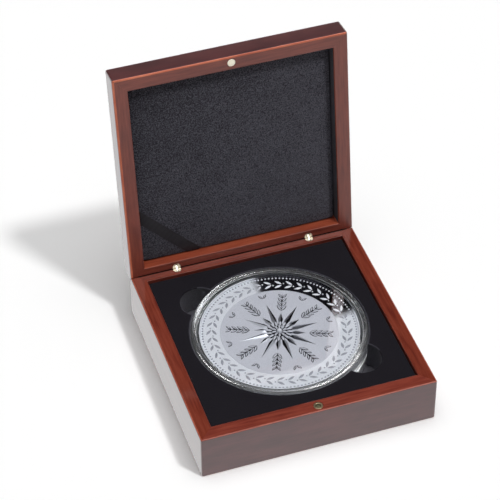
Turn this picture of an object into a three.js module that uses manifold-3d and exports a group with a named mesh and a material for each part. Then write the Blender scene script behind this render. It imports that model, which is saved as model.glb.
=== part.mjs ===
// Coin display case: a lacquered wooden box with a bevelled, hinged lid, a velour insert with
// a round recess, and a large silver coin in a clear two-part capsule.
// Millimetres, +Z up. The origin is the centre of the underside. The hinges are at +Y, and
// the lid stands open on its stop.

import * as THREE from "three";
import Module from "manifold-3d";
import { mergeVertices } from "three/addons/utils/BufferGeometryUtils.js";

const wasm = await Module();
wasm.setup();

// Clearances that pieces share
const seatGap = 0.3; // between glued or resting faces
const slideGap = 0.15; // round a plug in its bore
const pinGap = 0.1; // round a hinge pin
const overrun = 1; // how far a cutter passes the face that it opens

// Coin
const coinRadius = 50.3;
const coinThickness = 14.6;
const coinRimWidth = 1.1;
const coinFieldDepth = 1.1; // how far the struck face lies below the rim
const coinBevel = 0.3;
const reedDepth = 0.35;
const reedCount = 120;
const beadRadius = 0.8;
const beadHeight = 0.5;
const beadFromRim = 1.3; // from the rim's inner edge to the beads' centres
const beadCount = 140;
const fieldRingRadius = 36.7;
const fieldRingWidth = 0.7;
const fieldRingHeight = 0.35;
const starRadius = 31;
const starHeight = 0.8;
const starPoints = 16;
const shortRayShare = 0.62; // short rays against long ones
const rayRootShare = 0.38; // the star's inner corners against the long rays

// Capsule
const capsuleRim = 4.9; // from the coin's edge to the capsule's outer wall
const capsulePlate = 2.2;
const coinHeadroom = 0.7; // over the coin, which rests on the lower plate
const capsuleSkirt = 1.5;
const capsuleEdge = 0.9;
const tongueThickness = 1.1;
const tongueDepth = 3;
const locatorThickness = 0.9;
const locatorHeight = 3.4;
const splitHeight = 9.2; // where the two shells meet, above the underside

// Velour insert
const recessGap = 0.5; // round the capsule
const recessMargin = 9.7; // the tray's narrowest part, beside the recess
const notchRadius = 12.5;
const notchOffset = 0.6; // the notches' centres lie this far outside the capsule's edge
const trayDrop = 2; // tray's top below the rim
const bedThickness = 6.3;
const velourEase = 0.7;
const trayCorner = 1.5;
const capsuleDrop = 1.1; // capsule's top below the rim

// Wooden boards
const boardThickness = 9.3;
const panelThickness = 4;
const panelRebate = 4.5; // how far a panel reaches under the boards
const outerEase = 0.8;
const innerEase = 0.5;
const creaseEase = 0.4;
const cornerRadius = 1.3;

// Lid lining
const lidFreeDepth = 6; // from the rim to the padded liner
const linerPad = 2.2;
const linerBoard = 2;
const linerMargin = 1; // between the liner and the boards
const linerCorner = 2;
const linerEase = 0.8;
const ribbonWidth = 7.3;
const ribbonThickness = 0.4;
const ribbonReach = 25.6; // from the opening's corner to the ribbon's middle line

// Barrel hinges
const openingAngle = THREE.MathUtils.degToRad(97.7);
const pivotDepth = 1.4; // each pin below its own rim
const closedGap = 0.3; // between the rims of the shut case
const stopGap = 0.3; // between the bevels on the stop
const barrelRadius = 2.6;
const barrelLength = 9;
const barrelEase = 0.5;
const linkThickness = 1.3;
const linkEyeRadius = 1.1;
const linkSlotGap = 0.2; // beside the link in its slot
const hingePinRadius = 0.5;
const hingeFromSide = 30.3; // from the case's side to a hinge's middle

// Magnetic catch
const magnetRadius = 1.5;
const magnetLength = 3.2;
const cupWall = 1.2;
const cupFloor = 0.8;
const strikeRadius = 2.5;
const strikeThickness = 1.6;
const strikeEase = 0.3;

// How finely round stretches are divided
const turnSegments = 72;
const smallTurnSegments = 24;
const pinSegments = 12;
const notchSegments = 14;
const easeSegments = 3;
const velourSegments = 2;
const beadSides = 6;

// Sizes that follow
const capsuleRadius = coinRadius + capsuleRim;
const capsuleHeight = 2 * capsulePlate + seatGap + coinThickness + coinHeadroom;
const recessRadius = capsuleRadius + recessGap;
const trayHalf = recessRadius + recessMargin;
const openingHalf = trayHalf + seatGap;
const caseHalf = openingHalf + boardThickness;
const bedFloor = panelThickness + seatGap;
const bedTop = bedFloor + bedThickness;
const capsuleFloor = bedTop + seatGap;
const baseHeight = capsuleFloor + capsuleHeight + capsuleDrop;
const padTop = lidFreeDepth + linerPad;
const linerTop = padTop + seatGap + linerBoard;
const lidHeight = linerTop + seatGap + panelThickness;
const linkAngle = openingAngle / 2;
const linkLength = 2 * pivotDepth + closedGap;
const pivotY = caseHalf - boardThickness / 2;
const hingeX = caseHalf - hingeFromSide;
// The bevels lie on the plane that halves the open case, less half the stop gap each.
const bevelDistance = (linkLength - stopGap) / 2;
const bevelStart = (bevelDistance - pivotDepth * Math.cos(linkAngle)) / Math.sin(linkAngle);

// Materials
const paint = (color, roughness, metalness = 0, more = {}) =>
  new THREE.MeshStandardMaterial({ color, roughness, metalness, ...more });
const lacqueredWood = paint(0x73302a, 0.22);
const panelWood = paint(0x6a2d27, 0.25);
const blackVelour = paint(0x211f24, 0.95);
const greyLining = paint(0x35343a, 0.9);
const linerCard = paint(0x4a4038, 0.9);
const blackRibbon = paint(0x1d1c21, 0.6);
const brass = paint(0xd8b45f, 0.25, 1);
const steel = paint(0x9a9a98, 0.3, 1);
const magnetGrey = paint(0x7c7a68, 0.4, 0.8);
const silver = paint(0xd5d9e2, 0.18, 1);
const clearAcrylic = paint(0xf2f6f8, 0.05, 0, { transparent: true, opacity: 0.3 });

// Mesh helpers

/** Joins equal vertices and drops triangles that collapse, such as a revolve's on its axis. */
function weld(geometry) {
  const bare = new THREE.BufferGeometry();
  bare.setAttribute("position", geometry.getAttribute("position").clone());
  bare.setIndex(geometry.index ? geometry.index.clone() : null);
  const merged = mergeVertices(bare);
  const index = merged.index.array;
  const kept = [];
  for (let i = 0; i < index.length; i += 3) {
    const [a, b, c] = [index[i], index[i + 1], index[i + 2]];
    if (a !== b && b !== c && c !== a) {
      kept.push(a, b, c);
    }
  }
  merged.setIndex(kept);
  return merged;
}

function toSolid(geometry) {
  const welded = weld(geometry);
  const vertProperties = new Float32Array(welded.getAttribute("position").array);
  const triVerts = new Uint32Array(welded.index.array);
  return new wasm.Manifold(new wasm.Mesh({ numProp: 3, vertProperties, triVerts }));
}

function toGeometry(solid) {
  const mesh = solid.getMesh();
  const geometry = new THREE.BufferGeometry();
  geometry.setAttribute("position", new THREE.BufferAttribute(mesh.vertProperties, 3));
  geometry.setIndex(new THREE.BufferAttribute(mesh.triVerts, 1));
  const flat = geometry.toNonIndexed();
  flat.computeVertexNormals();
  return flat;
}

/** A body less every cutter in a list. */
function cut(body, cutters) {
  return cutters.reduce((rest, cutter) => rest.subtract(toSolid(cutter)), body);
}

/** A body of revolution about Z from [radius, height] pairs, listed up the outside. */
function revolve(profile, segments = turnSegments) {
  const points = profile.map(([radius, height]) => new THREE.Vector2(radius, height));
  const geometry = new THREE.LatheGeometry(points, segments);
  geometry.rotateX(Math.PI / 2);
  return geometry;
}

/** A cylinder along Z that stands on the given height. */
function post(radius, height, floor = 0, segments = smallTurnSegments) {
  const geometry = new THREE.CylinderGeometry(radius, radius, height, segments);
  geometry.rotateX(Math.PI / 2);
  geometry.translate(0, 0, floor + height / 2);
  return geometry;
}

/** An extrusion along X of a shape drawn as (y, z), centred on X = 0. */
function extrudeAcross(shape, width, curveSegments = easeSegments) {
  const settings = { depth: width, bevelEnabled: false, curveSegments };
  const geometry = new THREE.ExtrudeGeometry(shape, settings);
  const alongY = new THREE.Vector3(0, 1, 0);
  const alongZ = new THREE.Vector3(0, 0, 1);
  const alongX = new THREE.Vector3(1, 0, 0);
  geometry.applyMatrix4(new THREE.Matrix4().makeBasis(alongY, alongZ, alongX));
  geometry.translate(-width / 2, 0, 0);
  return geometry;
}

/** A square outline with round corners, centred on the origin. */
function roundedSquare(half, radius) {
  const shape = new THREE.Shape();
  const flat = half - radius;
  shape.absarc(flat, flat, radius, 0, Math.PI / 2);
  shape.absarc(-flat, flat, radius, Math.PI / 2, Math.PI);
  shape.absarc(-flat, -flat, radius, Math.PI, Math.PI * 1.5);
  shape.absarc(flat, -flat, radius, Math.PI * 1.5, Math.PI * 2);
  shape.closePath();
  return shape;
}

/** An upright slab of a shape whose edges are eased above and below. */
function easedSlab(shape, height, ease, segments = easeSegments) {
  const geometry = new THREE.ExtrudeGeometry(shape, {
    depth: height - 2 * ease,
    bevelEnabled: true,
    bevelThickness: ease,
    bevelSize: ease,
    bevelOffset: -ease,
    bevelSegments: segments,
    curveSegments: segments,
  });
  geometry.translate(0, 0, ease);
  return geometry;
}

/** A closed body through square stations, each [half width, height], listed upwards. */
function squareStations(stations) {
  const corners = [[-1, -1], [1, -1], [1, 1], [-1, 1]];
  const positions = [];
  for (const [half, height] of stations) {
    for (const [sideX, sideY] of corners) {
      positions.push(sideX * half, sideY * half, height);
    }
  }
  const index = [0, 2, 1, 0, 3, 2];
  for (let level = 0; level + 1 < stations.length; level += 1) {
    for (let side = 0; side < corners.length; side += 1) {
      const next = (side + 1) % corners.length;
      const [a, b] = [level * corners.length + side, level * corners.length + next];
      const [c, d] = [b + corners.length, a + corners.length];
      index.push(a, b, c, a, c, d);
    }
  }
  const last = (stations.length - 1) * corners.length;
  index.push(last, last + 1, last + 2, last, last + 2, last + 3);
  const geometry = new THREE.BufferGeometry();
  geometry.setAttribute("position", new THREE.Float32BufferAttribute(positions, 3));
  geometry.setIndex(index);
  return geometry;
}

function addPart(group, name, geometry, material) {
  const mesh = new THREE.Mesh(geometry, material);
  mesh.name = name;
  group.add(mesh);
  return mesh;
}

// Wooden halves

/** What the rear bevel takes away: the space above a slope that starts behind the hinge pins. */
function bevelCutter(height) {
  const start = pivotY + bevelStart;
  const slope = Math.tan(linkAngle);
  const footY = caseHalf;
  const footZ = height - (footY - start) * slope;
  const alongY = creaseEase * Math.cos(linkAngle);
  const alongZ = creaseEase * Math.sin(linkAngle);
  const shape = new THREE.Shape();
  shape.moveTo(start - creaseEase, height + overrun);
  shape.lineTo(start - creaseEase, height);
  shape.quadraticCurveTo(start, height, start + alongY, height - alongZ);
  shape.lineTo(footY - alongY, footZ + alongZ);
  shape.quadraticCurveTo(footY, footZ, footY, footZ - creaseEase);
  shape.lineTo(footY + overrun, footZ - creaseEase);
  shape.lineTo(footY + overrun, height + overrun);
  shape.closePath();
  return extrudeAcross(shape, 2 * (caseHalf + overrun));
}

/** The opening with its eased rim, and the rebate for the panel, as one stack of squares. */
function openingCutter(height) {
  const rebateHalf = openingHalf + panelRebate;
  const ledge = panelThickness + seatGap;
  const stations = [
    [rebateHalf, -overrun],
    [rebateHalf, ledge],
    [openingHalf, ledge],
  ];
  for (let step = 0; step <= easeSegments; step += 1) {
    const turn = (step / easeSegments) * (Math.PI / 2);
    const flare = innerEase * (1 - Math.cos(turn));
    stations.push([openingHalf + flare, height - innerEase + innerEase * Math.sin(turn)]);
  }
  stations.push([openingHalf + innerEase, height + overrun]);
  return squareStations(stations);
}

/** Plan wedge that keeps one mitred wall, less half a glue line on each side. */
function mitreWedge(height, quarterTurns) {
  const tip = (seatGap / 2) * Math.SQRT2;
  const reach = caseHalf + overrun;
  const shape = new THREE.Shape();
  shape.moveTo(0, -tip);
  shape.lineTo(-reach, -reach - tip);
  shape.lineTo(reach, -reach - tip);
  shape.closePath();
  const settings = { depth: height + 2 * overrun, bevelEnabled: false };
  const geometry = new THREE.ExtrudeGeometry(shape, settings);
  geometry.translate(0, 0, -overrun);
  geometry.rotateZ(quarterTurns * (Math.PI / 2));
  return geometry;
}

/** Four mitred walls of a half whose rim is on top and whose bevel is at +Y. */
function frameWalls(height, frontCutters, rearCutters) {
  const block = toSolid(easedSlab(roundedSquare(caseHalf, cornerRadius), height, outerEase));
  const frame = cut(block, [openingCutter(height), bevelCutter(height)]);
  const wall = (turns) => frame.intersect(toSolid(mitreWedge(height, turns)));
  return {
    front: toGeometry(cut(wall(0), frontCutters)),
    plusX: toGeometry(wall(1)),
    rear: toGeometry(cut(wall(2), rearCutters)),
    minusX: toGeometry(wall(3)),
  };
}

/** A blind bore from the rim down, at a place on the plan. */
function rimBore(x, y, radius, depth, height) {
  const geometry = post(radius, depth + overrun, height - depth);
  geometry.translate(x, y, 0);
  return geometry;
}

function hingeBores(height) {
  const depth = barrelLength + seatGap;
  const radius = barrelRadius + slideGap;
  return [hingeX, -hingeX].map((x) => rimBore(x, pivotY, radius, depth, height));
}

/** The flush panel that closes a half, with its outer face on z = 0. */
function panel() {
  const width = 2 * (openingHalf + panelRebate - seatGap);
  const geometry = new THREE.BoxGeometry(width, width, panelThickness);
  geometry.translate(0, 0, panelThickness / 2);
  return geometry;
}

// Insert

/** A round recess that two finger notches open on opposite corners. */
function recessOutline() {
  const reach = capsuleRadius + notchOffset;
  const half = Math.acos((recessRadius ** 2 + reach ** 2 - notchRadius ** 2) / (2 * recessRadius * reach));
  const notchHalf = Math.acos((notchRadius ** 2 + reach ** 2 - recessRadius ** 2) / (2 * notchRadius * reach));
  const points = [];
  for (const corner of [-Math.PI / 4, Math.PI * 0.75]) {
    const centre = new THREE.Vector2(Math.cos(corner), Math.sin(corner)).multiplyScalar(reach);
    const sweep = 2 * (Math.PI - notchHalf);
    for (let step = 0; step <= notchSegments; step += 1) {
      const turn = corner - sweep / 2 + (sweep * step) / notchSegments;
      const spoke = new THREE.Vector2(Math.cos(turn), Math.sin(turn)).multiplyScalar(notchRadius);
      points.push(spoke.add(centre));
    }
    const run = Math.PI - 2 * half;
    const steps = turnSegments / 2;
    for (let step = 1; step < steps; step += 1) {
      const turn = corner + half + (run * step) / steps;
      points.push(new THREE.Vector2(Math.cos(turn), Math.sin(turn)).multiplyScalar(recessRadius));
    }
  }
  return new THREE.Path(points);
}

function insertTray() {
  const shape = roundedSquare(trayHalf, trayCorner);
  shape.holes.push(recessOutline());
  const height = baseHeight - trayDrop - capsuleFloor;
  const geometry = easedSlab(shape, height, velourEase, velourSegments);
  geometry.translate(0, 0, capsuleFloor);
  return geometry;
}

function insertBed() {
  const geometry = new THREE.BoxGeometry(2 * trayHalf, 2 * trayHalf, bedThickness);
  geometry.translate(0, 0, bedFloor + bedThickness / 2);
  return geometry;
}

// Coin and capsule

/** The reeded disc: its edge runs in and out once for each reed. */
function reededOutline() {
  const shape = new THREE.Shape();
  for (let step = 0; step < 2 * reedCount; step += 1) {
    const turn = (step * Math.PI) / reedCount;
    const radius = coinRadius - (step % 2) * reedDepth;
    const point = [radius * Math.cos(turn), radius * Math.sin(turn)];
    if (step === 0) {
      shape.moveTo(...point);
    } else {
      shape.lineTo(...point);
    }
  }
  shape.closePath();
  return shape;
}

/** A ridged star: rays of two lengths run from a raised middle down to the field. */
function rayedStar(field) {
  const apex = [0, 0, field + starHeight];
  const foot = [0, 0, field - coinFieldDepth];
  const rim = [];
  for (let step = 0; step < 2 * starPoints; step += 1) {
    const turn = (step * Math.PI) / starPoints;
    const ray = step % 4 === 0 ? 1 : shortRayShare;
    const radius = starRadius * (step % 2 === 0 ? ray : rayRootShare);
    rim.push([radius * Math.cos(turn), radius * Math.sin(turn), field - coinFieldDepth / 2]);
  }
  const positions = [];
  rim.forEach((point, step) => {
    const next = rim[(step + 1) % rim.length];
    positions.push(...apex, ...point, ...next, ...foot, ...next, ...point);
  });
  const geometry = new THREE.BufferGeometry();
  geometry.setAttribute("position", new THREE.Float32BufferAttribute(positions, 3));
  return geometry;
}

/** A struck coin on z = 0: reeded edge, raised rim, bead border, ring line and a star. */
function struckCoin() {
  const field = coinThickness - coinFieldDepth;
  const fieldRadius = coinRadius - reedDepth - coinRimWidth;
  const blank = easedCoinBlank();
  const recess = post(fieldRadius, coinFieldDepth + overrun, field, turnSegments);
  const underside = post(fieldRadius, coinFieldDepth + overrun, -overrun, turnSegments);
  let coin = cut(blank, [recess, underside]);
  coin = coin.add(toSolid(rayedStar(field)));
  coin = coin.add(toSolid(fieldRing(field)));
  const beadCircle = fieldRadius - beadFromRim;
  for (let step = 0; step < beadCount; step += 1) {
    const turn = (2 * Math.PI * step) / beadCount;
    const bead = beadDome(field);
    bead.translate(beadCircle * Math.cos(turn), beadCircle * Math.sin(turn), 0);
    coin = coin.add(toSolid(bead));
  }
  return toGeometry(coin);
}

function easedCoinBlank() {
  const settings = { depth: coinThickness - 2 * coinBevel, bevelEnabled: true, bevelSegments: 1 };
  const bevel = { bevelThickness: coinBevel, bevelSize: coinBevel, bevelOffset: -coinBevel };
  const geometry = new THREE.ExtrudeGeometry(reededOutline(), { ...settings, ...bevel });
  geometry.translate(0, 0, coinBevel);
  return toSolid(geometry);
}

/** A low six-sided dome that stands in the field. */
function beadDome(field) {
  const geometry = new THREE.ConeGeometry(beadRadius, beadHeight + coinFieldDepth, beadSides);
  geometry.rotateX(Math.PI / 2);
  geometry.translate(0, 0, field + beadHeight - (beadHeight + coinFieldDepth) / 2);
  return geometry;
}

function fieldRing(field) {
  const outer = fieldRingRadius + fieldRingWidth / 2;
  const inner = fieldRingRadius - fieldRingWidth / 2;
  const top = field + fieldRingHeight;
  const bottom = field - fieldRingHeight;
  return revolve([[inner, bottom], [outer, bottom], [outer, top], [inner, top], [inner, bottom]]);
}

/** Lower shell: a plate, a skirt up to the split, and a ring that centres the coin. */
function lowerShell() {
  const ringInner = coinRadius + seatGap;
  const ringOuter = ringInner + locatorThickness;
  const lip = splitHeight - seatGap / 2;
  return revolve([
    [0, 0],
    [capsuleRadius - capsuleEdge, 0],
    [capsuleRadius, capsuleEdge],
    [capsuleRadius, lip],
    [capsuleRadius - capsuleSkirt, lip],
    [capsuleRadius - capsuleSkirt, capsulePlate],
    [ringOuter, capsulePlate],
    [ringOuter, capsulePlate + locatorHeight],
    [ringInner, capsulePlate + locatorHeight],
    [ringInner, capsulePlate],
    [0, capsulePlate],
  ]);
}

/** Upper shell: a plate, a skirt down to the split, and a tongue that snaps inside the lower. */
function upperShell() {
  const ringInner = coinRadius + seatGap;
  const ringOuter = ringInner + locatorThickness;
  const tongueOuter = capsuleRadius - capsuleSkirt - pinGap;
  const tongueInner = tongueOuter - tongueThickness;
  const lip = splitHeight + seatGap / 2;
  const underside = capsuleHeight - capsulePlate;
  return revolve([
    [0, underside],
    [ringInner, underside],
    [ringInner, underside - locatorHeight],
    [ringOuter, underside - locatorHeight],
    [ringOuter, underside],
    [tongueInner, underside],
    [tongueInner, splitHeight - tongueDepth],
    [tongueOuter, splitHeight - tongueDepth],
    [tongueOuter, lip],
    [capsuleRadius, lip],
    [capsuleRadius, capsuleHeight - capsuleEdge],
    [capsuleRadius - capsuleEdge, capsuleHeight],
    [0, capsuleHeight],
  ]);
}

// Hinges, each about its own pin

/** A barrel below its pin: the end is flush with the rim, bevelled, slotted and cross-drilled. */
function hingeBarrel() {
  const foot = pivotDepth - barrelLength;
  const body = toSolid(revolve([
    [0, foot],
    [barrelRadius - barrelEase, foot],
    [barrelRadius, foot + barrelEase],
    [barrelRadius, pivotDepth],
    [0, pivotDepth],
  ], smallTurnSegments));
  const slope = bevelCutter(pivotDepth);
  slope.translate(0, -pivotY, 0);
  const slotWidth = linkThickness + 2 * linkSlotGap;
  const slotDepth = pivotDepth + linkEyeRadius + seatGap;
  const slot = new THREE.BoxGeometry(slotWidth, 2 * (barrelRadius + overrun), slotDepth + overrun);
  slot.translate(0, 0, pivotDepth + overrun - (slotDepth + overrun) / 2);
  return toGeometry(cut(body, [slope, slot, pinBore(2 * (barrelRadius + overrun))]));
}

/** A cylinder along X through the pin's place. */
function pinBore(length, radius = hingePinRadius + pinGap) {
  const geometry = new THREE.CylinderGeometry(radius, radius, length, pinSegments);
  geometry.rotateZ(Math.PI / 2);
  return geometry;
}

function hingePin() {
  return pinBore(2 * (barrelRadius - seatGap), hingePinRadius);
}

/** A flat link with an eye on each pin, upright above the lower one. */
function hingeLink() {
  const shape = new THREE.Shape();
  shape.absarc(0, linkLength, linkEyeRadius, 0, Math.PI);
  shape.absarc(0, 0, linkEyeRadius, Math.PI, 2 * Math.PI);
  shape.closePath();
  for (const height of [0, linkLength]) {
    const eye = new THREE.Path();
    eye.absarc(0, height, hingePinRadius + pinGap, 0, 2 * Math.PI, true);
    shape.holes.push(eye);
  }
  return extrudeAcross(shape, linkThickness, pinSegments);
}

// Magnetic catch

function magnetCup() {
  const outer = magnetRadius + slideGap + cupWall;
  const inner = magnetRadius + slideGap;
  const depth = cupFloor + seatGap + magnetLength;
  return revolve([
    [0, baseHeight - depth],
    [outer, baseHeight - depth],
    [outer, baseHeight],
    [inner, baseHeight],
    [inner, baseHeight - depth + cupFloor],
    [0, baseHeight - depth + cupFloor],
  ], smallTurnSegments);
}

/** The lid's strike disc, face down on the rim plane. */
function strikeDisc() {
  return revolve([
    [0, 0],
    [strikeRadius - strikeEase, 0],
    [strikeRadius, strikeEase],
    [strikeRadius, strikeThickness],
    [0, strikeThickness],
  ], smallTurnSegments);
}

// Lid lining

function linerSheet(height, floor) {
  const outline = roundedSquare(openingHalf - linerMargin, linerCorner);
  const geometry = easedSlab(outline, height, Math.min(linerEase, height / 3));
  geometry.translate(0, 0, floor);
  return geometry;
}

/** A band across the liner's rear corner at -X, with its ends tucked round the liner's edges. */
function certificateRibbon() {
  const legOffset = openingHalf - seatGap - ribbonThickness;
  const edge = openingHalf - seatGap;
  const middle = 2 * openingHalf - ribbonReach * Math.SQRT2;
  const half = (ribbonWidth / 2) * Math.SQRT2;
  const band = new THREE.Shape();
  band.moveTo(-edge, middle - half - edge);
  band.lineTo(edge - (middle - half), edge);
  band.lineTo(edge - (middle + half), edge);
  band.lineTo(-edge, middle + half - edge);
  band.closePath();
  const settings = { depth: ribbonThickness, bevelEnabled: false };
  const face = new THREE.ExtrudeGeometry(band, settings);
  face.translate(0, 0, lidFreeDepth - seatGap - ribbonThickness);
  const legDepth = ribbonThickness + seatGap + linerPad;
  const legTop = lidFreeDepth - seatGap - ribbonThickness;
  const legs = [[-1, 0], [0, 1]].map(([alongX, alongY]) => {
    const sizeX = alongX ? ribbonThickness : 2 * half;
    const sizeY = alongY ? ribbonThickness : 2 * half;
    const leg = new THREE.BoxGeometry(sizeX, sizeY, legDepth);
    const side = legOffset + ribbonThickness / 2;
    const x = alongX ? -side : edge - middle;
    const y = alongY ? side : middle - edge;
    leg.translate(x, y, legTop + legDepth / 2);
    return leg;
  });
  return toGeometry(toSolid(face).add(toSolid(legs[0])).add(toSolid(legs[1])));
}

// Assembly

const coinCase = new THREE.Group();

const base = new THREE.Group();
coinCase.add(base);
const cupRadius = magnetRadius + slideGap + cupWall;
const cupDepth = cupFloor + seatGap + magnetLength;
const baseWalls = frameWalls(
  baseHeight,
  [rimBore(0, -pivotY, cupRadius + slideGap, cupDepth + seatGap, baseHeight)],
  hingeBores(baseHeight),
);
addPart(base, "base_front_wall", baseWalls.front, lacqueredWood);
addPart(base, "base_rear_wall", baseWalls.rear, lacqueredWood);
addPart(base, "base_left_wall", baseWalls.minusX, lacqueredWood);
addPart(base, "base_right_wall", baseWalls.plusX, lacqueredWood);
addPart(base, "base_bottom_panel", panel(), panelWood);
addPart(base, "insert_bed", insertBed(), blackVelour);
addPart(base, "insert_tray", insertTray(), blackVelour);
addPart(base, "catch_magnet_cup", magnetCup(), brass).position.y = -pivotY;
const magnet = post(magnetRadius, magnetLength, baseHeight - magnetLength);
addPart(base, "catch_magnet", magnet, magnetGrey).position.y = -pivotY;

const capsule = new THREE.Group();
capsule.position.z = capsuleFloor;
coinCase.add(capsule);
addPart(capsule, "capsule_lower_shell", lowerShell(), clearAcrylic);
addPart(capsule, "coin", struckCoin(), silver).position.z = capsulePlate + seatGap;
addPart(capsule, "capsule_upper_shell", upperShell(), clearAcrylic);

const lid = new THREE.Group();
const lowerPivot = new THREE.Vector3(0, pivotY, baseHeight - pivotDepth);
const linkRun = new THREE.Vector3(0, Math.sin(linkAngle), Math.cos(linkAngle)).multiplyScalar(linkLength);
lid.position.copy(lowerPivot).add(linkRun);
lid.rotation.x = -openingAngle;
coinCase.add(lid);

// The lid's shell is the same frame upside down, so its sides change places.
const lidShell = new THREE.Group();
lidShell.position.set(0, -pivotY, lidHeight - pivotDepth);
lidShell.rotation.y = Math.PI;
lid.add(lidShell);
const lidWalls = frameWalls(
  lidHeight,
  [rimBore(0, -pivotY, strikeRadius + slideGap, strikeThickness + seatGap, lidHeight)],
  hingeBores(lidHeight),
);
addPart(lidShell, "lid_front_wall", lidWalls.front, lacqueredWood);
addPart(lidShell, "lid_rear_wall", lidWalls.rear, lacqueredWood);
addPart(lidShell, "lid_left_wall", lidWalls.plusX, lacqueredWood);
addPart(lidShell, "lid_right_wall", lidWalls.minusX, lacqueredWood);
addPart(lidShell, "lid_top_panel", panel(), panelWood);

const lining = new THREE.Group();
lining.position.set(0, -pivotY, -pivotDepth);
lid.add(lining);
addPart(lining, "lid_liner_pad", linerSheet(linerPad, lidFreeDepth), greyLining);
addPart(lining, "lid_liner_board", linerSheet(linerBoard, padTop + seatGap), linerCard);
addPart(lining, "certificate_ribbon", certificateRibbon(), blackRibbon);
addPart(lining, "catch_strike_disc", strikeDisc(), brass).position.y = -pivotY;

for (const [side, x] of [["left", -hingeX], ["right", hingeX]]) {
  const baseBarrel = addPart(base, `${side}_hinge_base_barrel`, hingeBarrel(), brass);
  baseBarrel.position.copy(lowerPivot).setX(x);
  const basePin = addPart(base, `${side}_hinge_base_pin`, hingePin(), steel);
  basePin.position.copy(lowerPivot).setX(x);

  const link = addPart(coinCase, `${side}_hinge_link`, hingeLink(), brass);
  link.position.copy(lowerPivot).setX(x);
  link.rotation.x = -linkAngle;

  const lidBarrel = addPart(lid, `${side}_hinge_lid_barrel`, hingeBarrel(), brass);
  lidBarrel.position.x = x;
  lidBarrel.rotation.y = Math.PI;
  addPart(lid, `${side}_hinge_lid_pin`, hingePin(), steel).position.x = x;
}

export default coinCase;
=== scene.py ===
"""Coin display case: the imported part, dressed for a plain studio picture.

Sizes are written in millimetres and turned to metres where a mesh is made. The frame is
the part's own: +Z up, the front of the case towards -Y and its hinges towards +Y. Pieces
of the open lid are shaped as if it lay shut on its rim, then turned up about its hinges.
"""

import logging
import math
from dataclasses import dataclass, field
from enum import Enum, IntEnum
from functools import partial
from typing import Callable, Iterable, Sequence

import bmesh
import bpy
from mathutils import Matrix, Vector


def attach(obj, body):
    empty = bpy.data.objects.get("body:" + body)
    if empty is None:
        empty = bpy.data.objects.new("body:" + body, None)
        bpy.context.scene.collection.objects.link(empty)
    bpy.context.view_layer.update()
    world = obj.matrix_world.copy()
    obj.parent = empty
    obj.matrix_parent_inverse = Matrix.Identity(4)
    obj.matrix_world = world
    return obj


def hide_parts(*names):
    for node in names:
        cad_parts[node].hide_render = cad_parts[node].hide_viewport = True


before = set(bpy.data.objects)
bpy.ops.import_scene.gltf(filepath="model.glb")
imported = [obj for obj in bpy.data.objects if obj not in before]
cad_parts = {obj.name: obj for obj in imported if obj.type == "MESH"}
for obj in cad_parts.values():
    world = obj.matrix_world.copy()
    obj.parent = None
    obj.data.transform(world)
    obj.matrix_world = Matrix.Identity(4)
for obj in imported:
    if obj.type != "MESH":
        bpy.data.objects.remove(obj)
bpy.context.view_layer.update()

MM = 0.001
LOG = logging.getLogger("coin_case")
WHITE = (1.0, 1.0, 1.0, 1.0)
# The lid's turn from shut to the photographed pose, in degrees.
LID_TURN = 97.7
# How level a face lies, by its normal's height: a wall is below UPRIGHT, a bevel is between
# SLANT and FLAT, and the rim is above LEVEL. TRUE is how far off a mitre's normal may be.
UPRIGHT, SLANT, FLAT, LEVEL, TRUE = 0.5, 0.3, 0.95, 0.995, 0.02
# How far a face's middle may lie from its wall or its eased edge, in millimetres.
WALL_SLACK, EASE_SLACK = 0.5, 0.05

Colour = tuple[float, float, float, float]
Profile = Sequence[tuple[float, float]]
Shape = bmesh.types.BMesh
Socket = bpy.types.NodeSocket
Tree = bpy.types.NodeTree


def linear(code: str) -> Colour:
    """Turns an sRGB hex colour into Blender's linear one.

    Args:
        code: The colour as written on screen, such as "#8a3a2b".

    Returns:
        Red, green and blue in linear light, and an alpha of 1.
    """
    parts = (int(code[i : i + 2], 16) / 255 for i in (1, 3, 5))
    red, green, blue = (p / 12.92 if p <= 0.04045 else ((p + 0.055) / 1.055) ** 2.4 for p in parts)
    return (red, green, blue, 1.0)


def add_node(
    tree: Tree, kind: str, inputs: dict | None = None, out: int | str = 0, **settings
) -> Socket | None:
    """Adds one shader node.

    Args:
        tree: The node tree that it goes into.
        kind: The node's type, without Blender's own "ShaderNode" before it.
        inputs: Its sockets by name or number, each with a value or the socket that feeds it.
        out: The output that is wanted, by name or number.
        settings: Its properties. "stops" lists a colour ramp's (place, colour) pairs.

    Returns:
        The wanted output, or None for a node that has no outputs.
    """
    node = tree.nodes.new("ShaderNode" + kind)
    for place, (at, colour) in enumerate(settings.pop("stops", ())):
        stops = node.color_ramp.elements
        stop = stops[place] if place < 2 else stops.new(at)
        stop.position, stop.color = at, colour
    for name, value in settings.items():
        setattr(node, name, value)
    for key, value in (inputs or {}).items():
        if isinstance(value, Socket):
            tree.links.new(value, node.inputs[key])
        else:
            node.inputs[key].default_value = value
    return node.outputs[out] if node.outputs else None


# Finishes


@dataclass(frozen=True)
class Finish:
    """A surface finish, made into a material when it is first used."""

    name: str

    def material(self) -> bpy.types.Material:
        """Makes the material, or finds it if it is already made.

        Returns:
            The material.
        """
        found = bpy.data.materials.get(self.name)
        if found is None:
            found = bpy.data.materials.new(self.name)
            found.use_nodes = True
            found.node_tree.nodes.clear()
            add_node(found.node_tree, "OutputMaterial", {"Surface": self.shader(found.node_tree)})
        return found

    def shader(self, tree: Tree) -> Socket:
        """Builds the finish's nodes.

        Args:
            tree: The material's empty node tree.

        Returns:
            The socket that gives the surface.
        """
        raise NotImplementedError


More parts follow.
